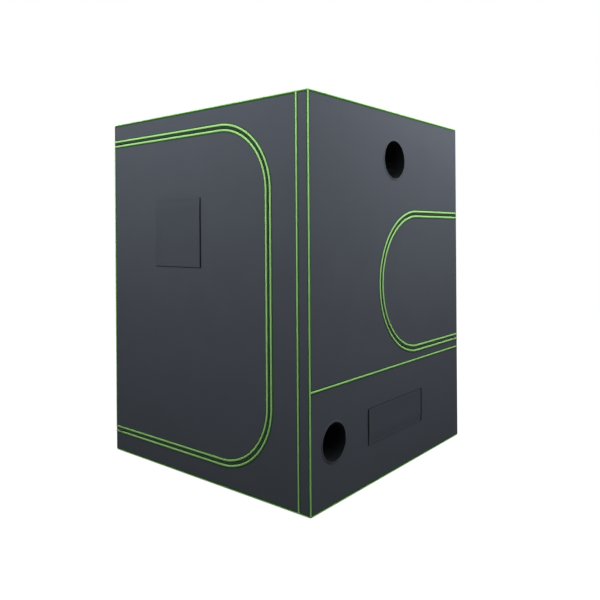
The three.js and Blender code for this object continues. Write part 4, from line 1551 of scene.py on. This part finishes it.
class TENT_OT_tray(bpy.types.Operator):
    """Makes the lift-out floor tray"""

    bl_idname = "tent.tray"
    bl_label = "Floor tray"

    corner = 24 * MM
    sheet = 1.2 * MM
    hem = 2.1 * MM
    hem_inset = 0.5 * MM
    mesh = 40 * MM
    rim_rows = 4

    # The rim leans in towards its top, unevenly
    lean = 1.2 * MM
    ripple = 1.6 * MM
    waves = (4, 4)
    seed = 6.5

    def execute(self, context):
        """Folds the sheet up round its edge and hems the rim."""
        low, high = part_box("floor_tray")
        reach, rim_height = high[0], high[2] - low[2]
        edge = rounded((-reach, reach, -reach, reach), self.corner, CORNER_STEPS)
        bm = cut_cloth(edge, (), self.mesh)
        rim = [e for e in bm.edges if e.is_boundary]
        for _ in range(self.rim_rows):
            folded = bmesh.ops.extrude_edge_only(bm, edges=rim)["geom"]
            verts = kept(folded, bmesh.types.BMVert)
            bmesh.ops.translate(bm, verts=verts, vec=(0, 0, rim_height / self.rim_rows))
            made = set(verts)
            rim = [e for e in kept(folded, bmesh.types.BMEdge) if set(e.verts) <= made]
        uv = bm.loops.layers.uv["Cloth"]
        for face in bm.faces:
            for loop in face.loops:
                x, y, z = loop.vert.co
                loop[uv].uv = (x + math.copysign(z, x), y + math.copysign(z, y))
        for v in bm.verts:
            share = v.co.z / rim_height
            ripple = unevenness(v.co.x, v.co.y, self.waves, self.seed) * self.ripple
            if share > 0:
                outward = Vector((v.co.x, v.co.y, 0)).normalized()
                v.co -= outward * share * (self.lean + abs(ripple))
            v.co.z += low[2]
        area = flat_area(bm)
        outwards(bm)
        bmesh.ops.solidify(bm, geom=bm.faces[:], thickness=self.sheet)
        name = "floor_tray"
        made = piece(bm, "floor_tray_sheet", "tent", ["tray"], name, [name], 60)
        inset = self.hem + self.hem_inset
        route = ring_route(reach - inset, self.corner - inset)
        height = high[2] - self.hem - GAP
        cord_ring("floor_tray_hem", "tent", "tray", name, route, self.hem, height)
        return {"FINISHED"}


class TENT_OT_poles(bpy.types.Operator):
    """Makes the steel poles of the frame"""

    bl_idname = "tent.poles"
    bl_label = "Poles"

    # The tube's wall, the length and depth of its swaged part, the slope at the end of that part,
    # the lip of the other half, and the roll of an end
    wall = 1.0 * MM
    swage = 9 * MM
    step = 0.6 * MM
    dimple = 1.2 * MM
    lip = 0.3 * MM
    roll = 0.4 * MM

    def execute(self, context):
        """Turns each pole between its two connectors."""
        for node in sorted(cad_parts):
            if node.startswith("upright_") or "_rail_" in node:
                self.pole(node, context.scene.tent_trim.pole_sides)
        return {"FINISHED"}

    def profile(self, radius, length):
        """A tube's wall with rolled ends, its halves pushed together at its middle."""
        middle, bore, swaged = length / 2, radius - self.wall, radius - self.step
        return [
            (bore, 0), (radius - self.roll, 0), (radius, self.roll), (radius, middle - self.swage),
            (swaged, middle - self.swage + self.step), (swaged, middle - self.dimple),
            (radius - self.lip, middle), (radius, middle + self.lip), (radius, length - self.roll),
            (radius - self.roll, length), (bore, length),
        ]

    def pole(self, node, sides):
        """One pole, turned upright and laid along the longest side of its box."""
        low, high = (Vector(corner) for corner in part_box(node))
        size = high - low
        axis = max(range(3), key=lambda a: size[a])
        bm = new_mesh()
        ring = drawn(bm, [(r, 0, z) for r, z in self.profile(min(size) / 2, size[axis])])
        spun(bm, *ring, (0, 0, 0), sides)
        outwards(bm)
        laid = ((QUARTER, "Y"), (-QUARTER, "X"), (0, "Z"))[axis]
        centre = (low + high) / 2
        centre[axis] = low[axis]
        bm.transform(Matrix.Translation(centre) @ Matrix.Rotation(laid[0], 4, laid[1]))
        piece(bm, node + "_tube", "tent", ["pole"], "shell", [node], 30)


class TENT_OT_fittings(bpy.types.Operator):
    """Gives the carried-over connectors, bars, sliders and tabs their finishes"""

    bl_idname = "tent.fittings"
    bl_label = "Fittings"

    looks = {
        "connector": "moulding", "hanging_bar": "pole", "slider": "slider", "pull_tab": "slider",
    }

    def execute(self, context):
        """Puts a finish in every slot of each node that still shows."""
        for node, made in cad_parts.items():
            if made.hide_render:
                continue
            found = [look for word, look in self.looks.items() if word in node]
            if not found:
                raise RuntimeError("no finish for " + node)
            if not made.material_slots:
                made.data.materials.append(None)
            for each in made.material_slots:
                each.material = finish(found[0])
        return {"FINISHED"}


# Stage

class TENT_OT_stage(bpy.types.Operator):
    """Sets up the camera, lamps, floor and surroundings"""

    bl_idname = "tent.stage"
    bl_label = "Stage"

    floor_radius = 9.0
    floor_glow = {"From Min": 1.2, "From Max": 3.0, "To Min": 0.88, "To Max": 1.0}

    def execute(self, context):
        """Builds the studio round the tent."""
        scene = context.scene
        stage = scene.tent_stage
        self.camera(scene)
        far = HALF + 2.07
        for name, at, aim, width, power in (
            ("front_lamp", (0, -far, 3.45), (0, -HALF, 2.6), 5.0, stage.front_lamp),
            ("right_lamp", (HALF + 1.76, 0.87, 3.31), (HALF, 0, 2.27), 2.7, stage.right_lamp),
            ("back_lamp", (0, far, 3.45), (0, HALF, 2.6), 4.0, stage.back_lamp),
            ("left_lamp", (-far, 0, 3.45), (-HALF, 0, 2.6), 4.0, stage.back_lamp),
        ):
            self.lamp(scene, name, Vector(at), Vector(aim), width, power)
        self.floor(scene)
        self.surroundings(scene)
        scene.view_settings.view_transform = "Standard"
        return {"FINISHED"}

    def camera(self, scene):
        """The camera at the photograph's place, turn, focal length and shift."""
        forward = Vector((math.sin(CAMERA_YAW), math.cos(CAMERA_YAW), 0))
        level = Vector((math.cos(CAMERA_YAW), -math.sin(CAMERA_YAW), 0))
        right = math.cos(CAMERA_ROLL) * level + math.sin(CAMERA_ROLL) * UP
        turn = Matrix((right, right.cross(forward), -forward)).transposed().to_4x4()
        data = bpy.data.cameras.new("photo_camera")
        data.sensor_width = SENSOR_MM
        data.lens = FOCAL_PIXELS / FRAME_PIXELS * SENSOR_MM
        data.shift_x = (FRAME_PIXELS / 2 - CENTRE_PIXELS[0]) / FRAME_PIXELS
        data.shift_y = (CENTRE_PIXELS[1] - FRAME_PIXELS / 2) / FRAME_PIXELS
        made = bpy.data.objects.new("photo_camera", data)
        made.matrix_world = Matrix.Translation(CAMERA_AT) @ turn
        scene.collection.objects.link(made)
        scene.camera = made

    def lamp(self, scene, name, at, aim, width, power):
        """A wide soft lamp that looks at a wall."""
        data = bpy.data.lights.new(name, "AREA")
        data.shape = "RECTANGLE"
        data.size = width
        data.size_y = 1.0
        data.energy = power
        made = bpy.data.objects.new(name, data)
        made.location = at
        made.rotation_euler = (aim - at).to_track_quat("-Z", "Y").to_euler()
        made.visible_camera = False
        scene.collection.objects.link(made)

    def floor(self, scene):
        """A wide matt floor that shows white and still takes the tent's shadow."""
        bm = bmesh.new()
        bmesh.ops.create_circle(bm, cap_ends=True, segments=64, radius=self.floor_radius)
        mesh = bpy.data.meshes.new("floor")
        bm.to_mesh(mesh)
        bm.free()
        made = bpy.data.objects.new("studio_floor", mesh)
        made.location = (0, 0, -1 * MM)
        scene.collection.objects.link(made)
        material, tree = begun("Paper floor, matt")
        paper = add(tree, "BsdfDiffuse", values={"Color": linear("#6e6e6e")})
        where = add(tree, "TexCoord")
        distance = add(tree, "VectorMath", {0: where.outputs["Object"]}, operation="LENGTH")
        glow = add(tree, "MapRange", {"Value": distance.outputs["Value"]}, self.floor_glow)
        lit = add(tree, "Emission", {"Strength": glow.outputs[0]}, {"Color": (1, 1, 1, 1)})
        both = add(tree, "AddShader", {0: paper.outputs[0], 1: lit.outputs[0]})
        dull = add(tree, "BsdfDiffuse", values={"Color": linear("#303030")})
        links = {0: seen_directly(tree), 1: dull.outputs[0], 2: both.outputs[0]}
        mixed = add(tree, "MixShader", links)
        add(tree, "OutputMaterial", {"Surface": mixed.outputs[0]})
        mesh.materials.append(material)

    def surroundings(self, scene):
        """A dim even room that looks white to the camera and in reflections."""
        world = bpy.data.worlds.new("studio_room")
        world.use_nodes = True
        tree = world.node_tree
        tree.nodes.clear()
        white = {"Color": (1, 1, 1, 1)}
        room = add(tree, "Background", values={**white, "Strength": scene.tent_stage.sky})
        bright = add(tree, "Background", values={**white, "Strength": 1.0})
        links = {0: seen_directly(tree), 1: room.outputs[0], 2: bright.outputs[0]}
        mixed = add(tree, "MixShader", links)
        add(tree, "OutputWorld", {"Surface": mixed.outputs[0]})
        scene.world = world


STEPS = (
    TENT_OT_stage, TENT_OT_walls, TENT_OT_doors, TENT_OT_piping, TENT_OT_zips, TENT_OT_window,
    TENT_OT_vents, TENT_OT_sleeves, TENT_OT_tray, TENT_OT_poles, TENT_OT_fittings,
)
SETTINGS = {
    "tent_colours": TentColours,
    "tent_cloth": TentCloth,
    "tent_trim": TentTrim,
    "tent_stage": TentStage,
}


class TENT_PT_sidebar(bpy.types.Panel):
    """Lists the tent's parts and their sizes"""

    bl_idname = "TENT_PT_sidebar"
    bl_label = "Grow tent"
    bl_space_type = "VIEW_3D"
    bl_region_type = "UI"
    bl_category = "Grow tent"

    def draw(self, context):
        """Draws the settings and a button for each part."""
        for group in SETTINGS:
            settings = getattr(context.scene, group)
            for name in settings.__annotations__:
                self.layout.prop(settings, name)
        for step in STEPS:
            self.layout.operator(step.bl_idname)


CLASSES = (*SETTINGS.values(), *STEPS, TENT_PT_sidebar)


def register():
    """Registers the classes and hangs their settings on the scene."""
    for each in CLASSES:
        bpy.utils.register_class(each)
    for name, kind in SETTINGS.items():
        setattr(bpy.types.Scene, name, PointerProperty(type=kind))


def unregister():
    """Takes the settings and classes away again."""
    for name in SETTINGS:
        delattr(bpy.types.Scene, name)
    for each in reversed(CLASSES):
        bpy.utils.unregister_class(each)


def main():
    """Builds the tent."""
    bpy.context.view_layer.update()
    register()
    for step in STEPS:
        family, action = step.bl_idname.split(".")
        getattr(getattr(bpy.ops, family), action)()


if __name__ == "__main__":
    main()
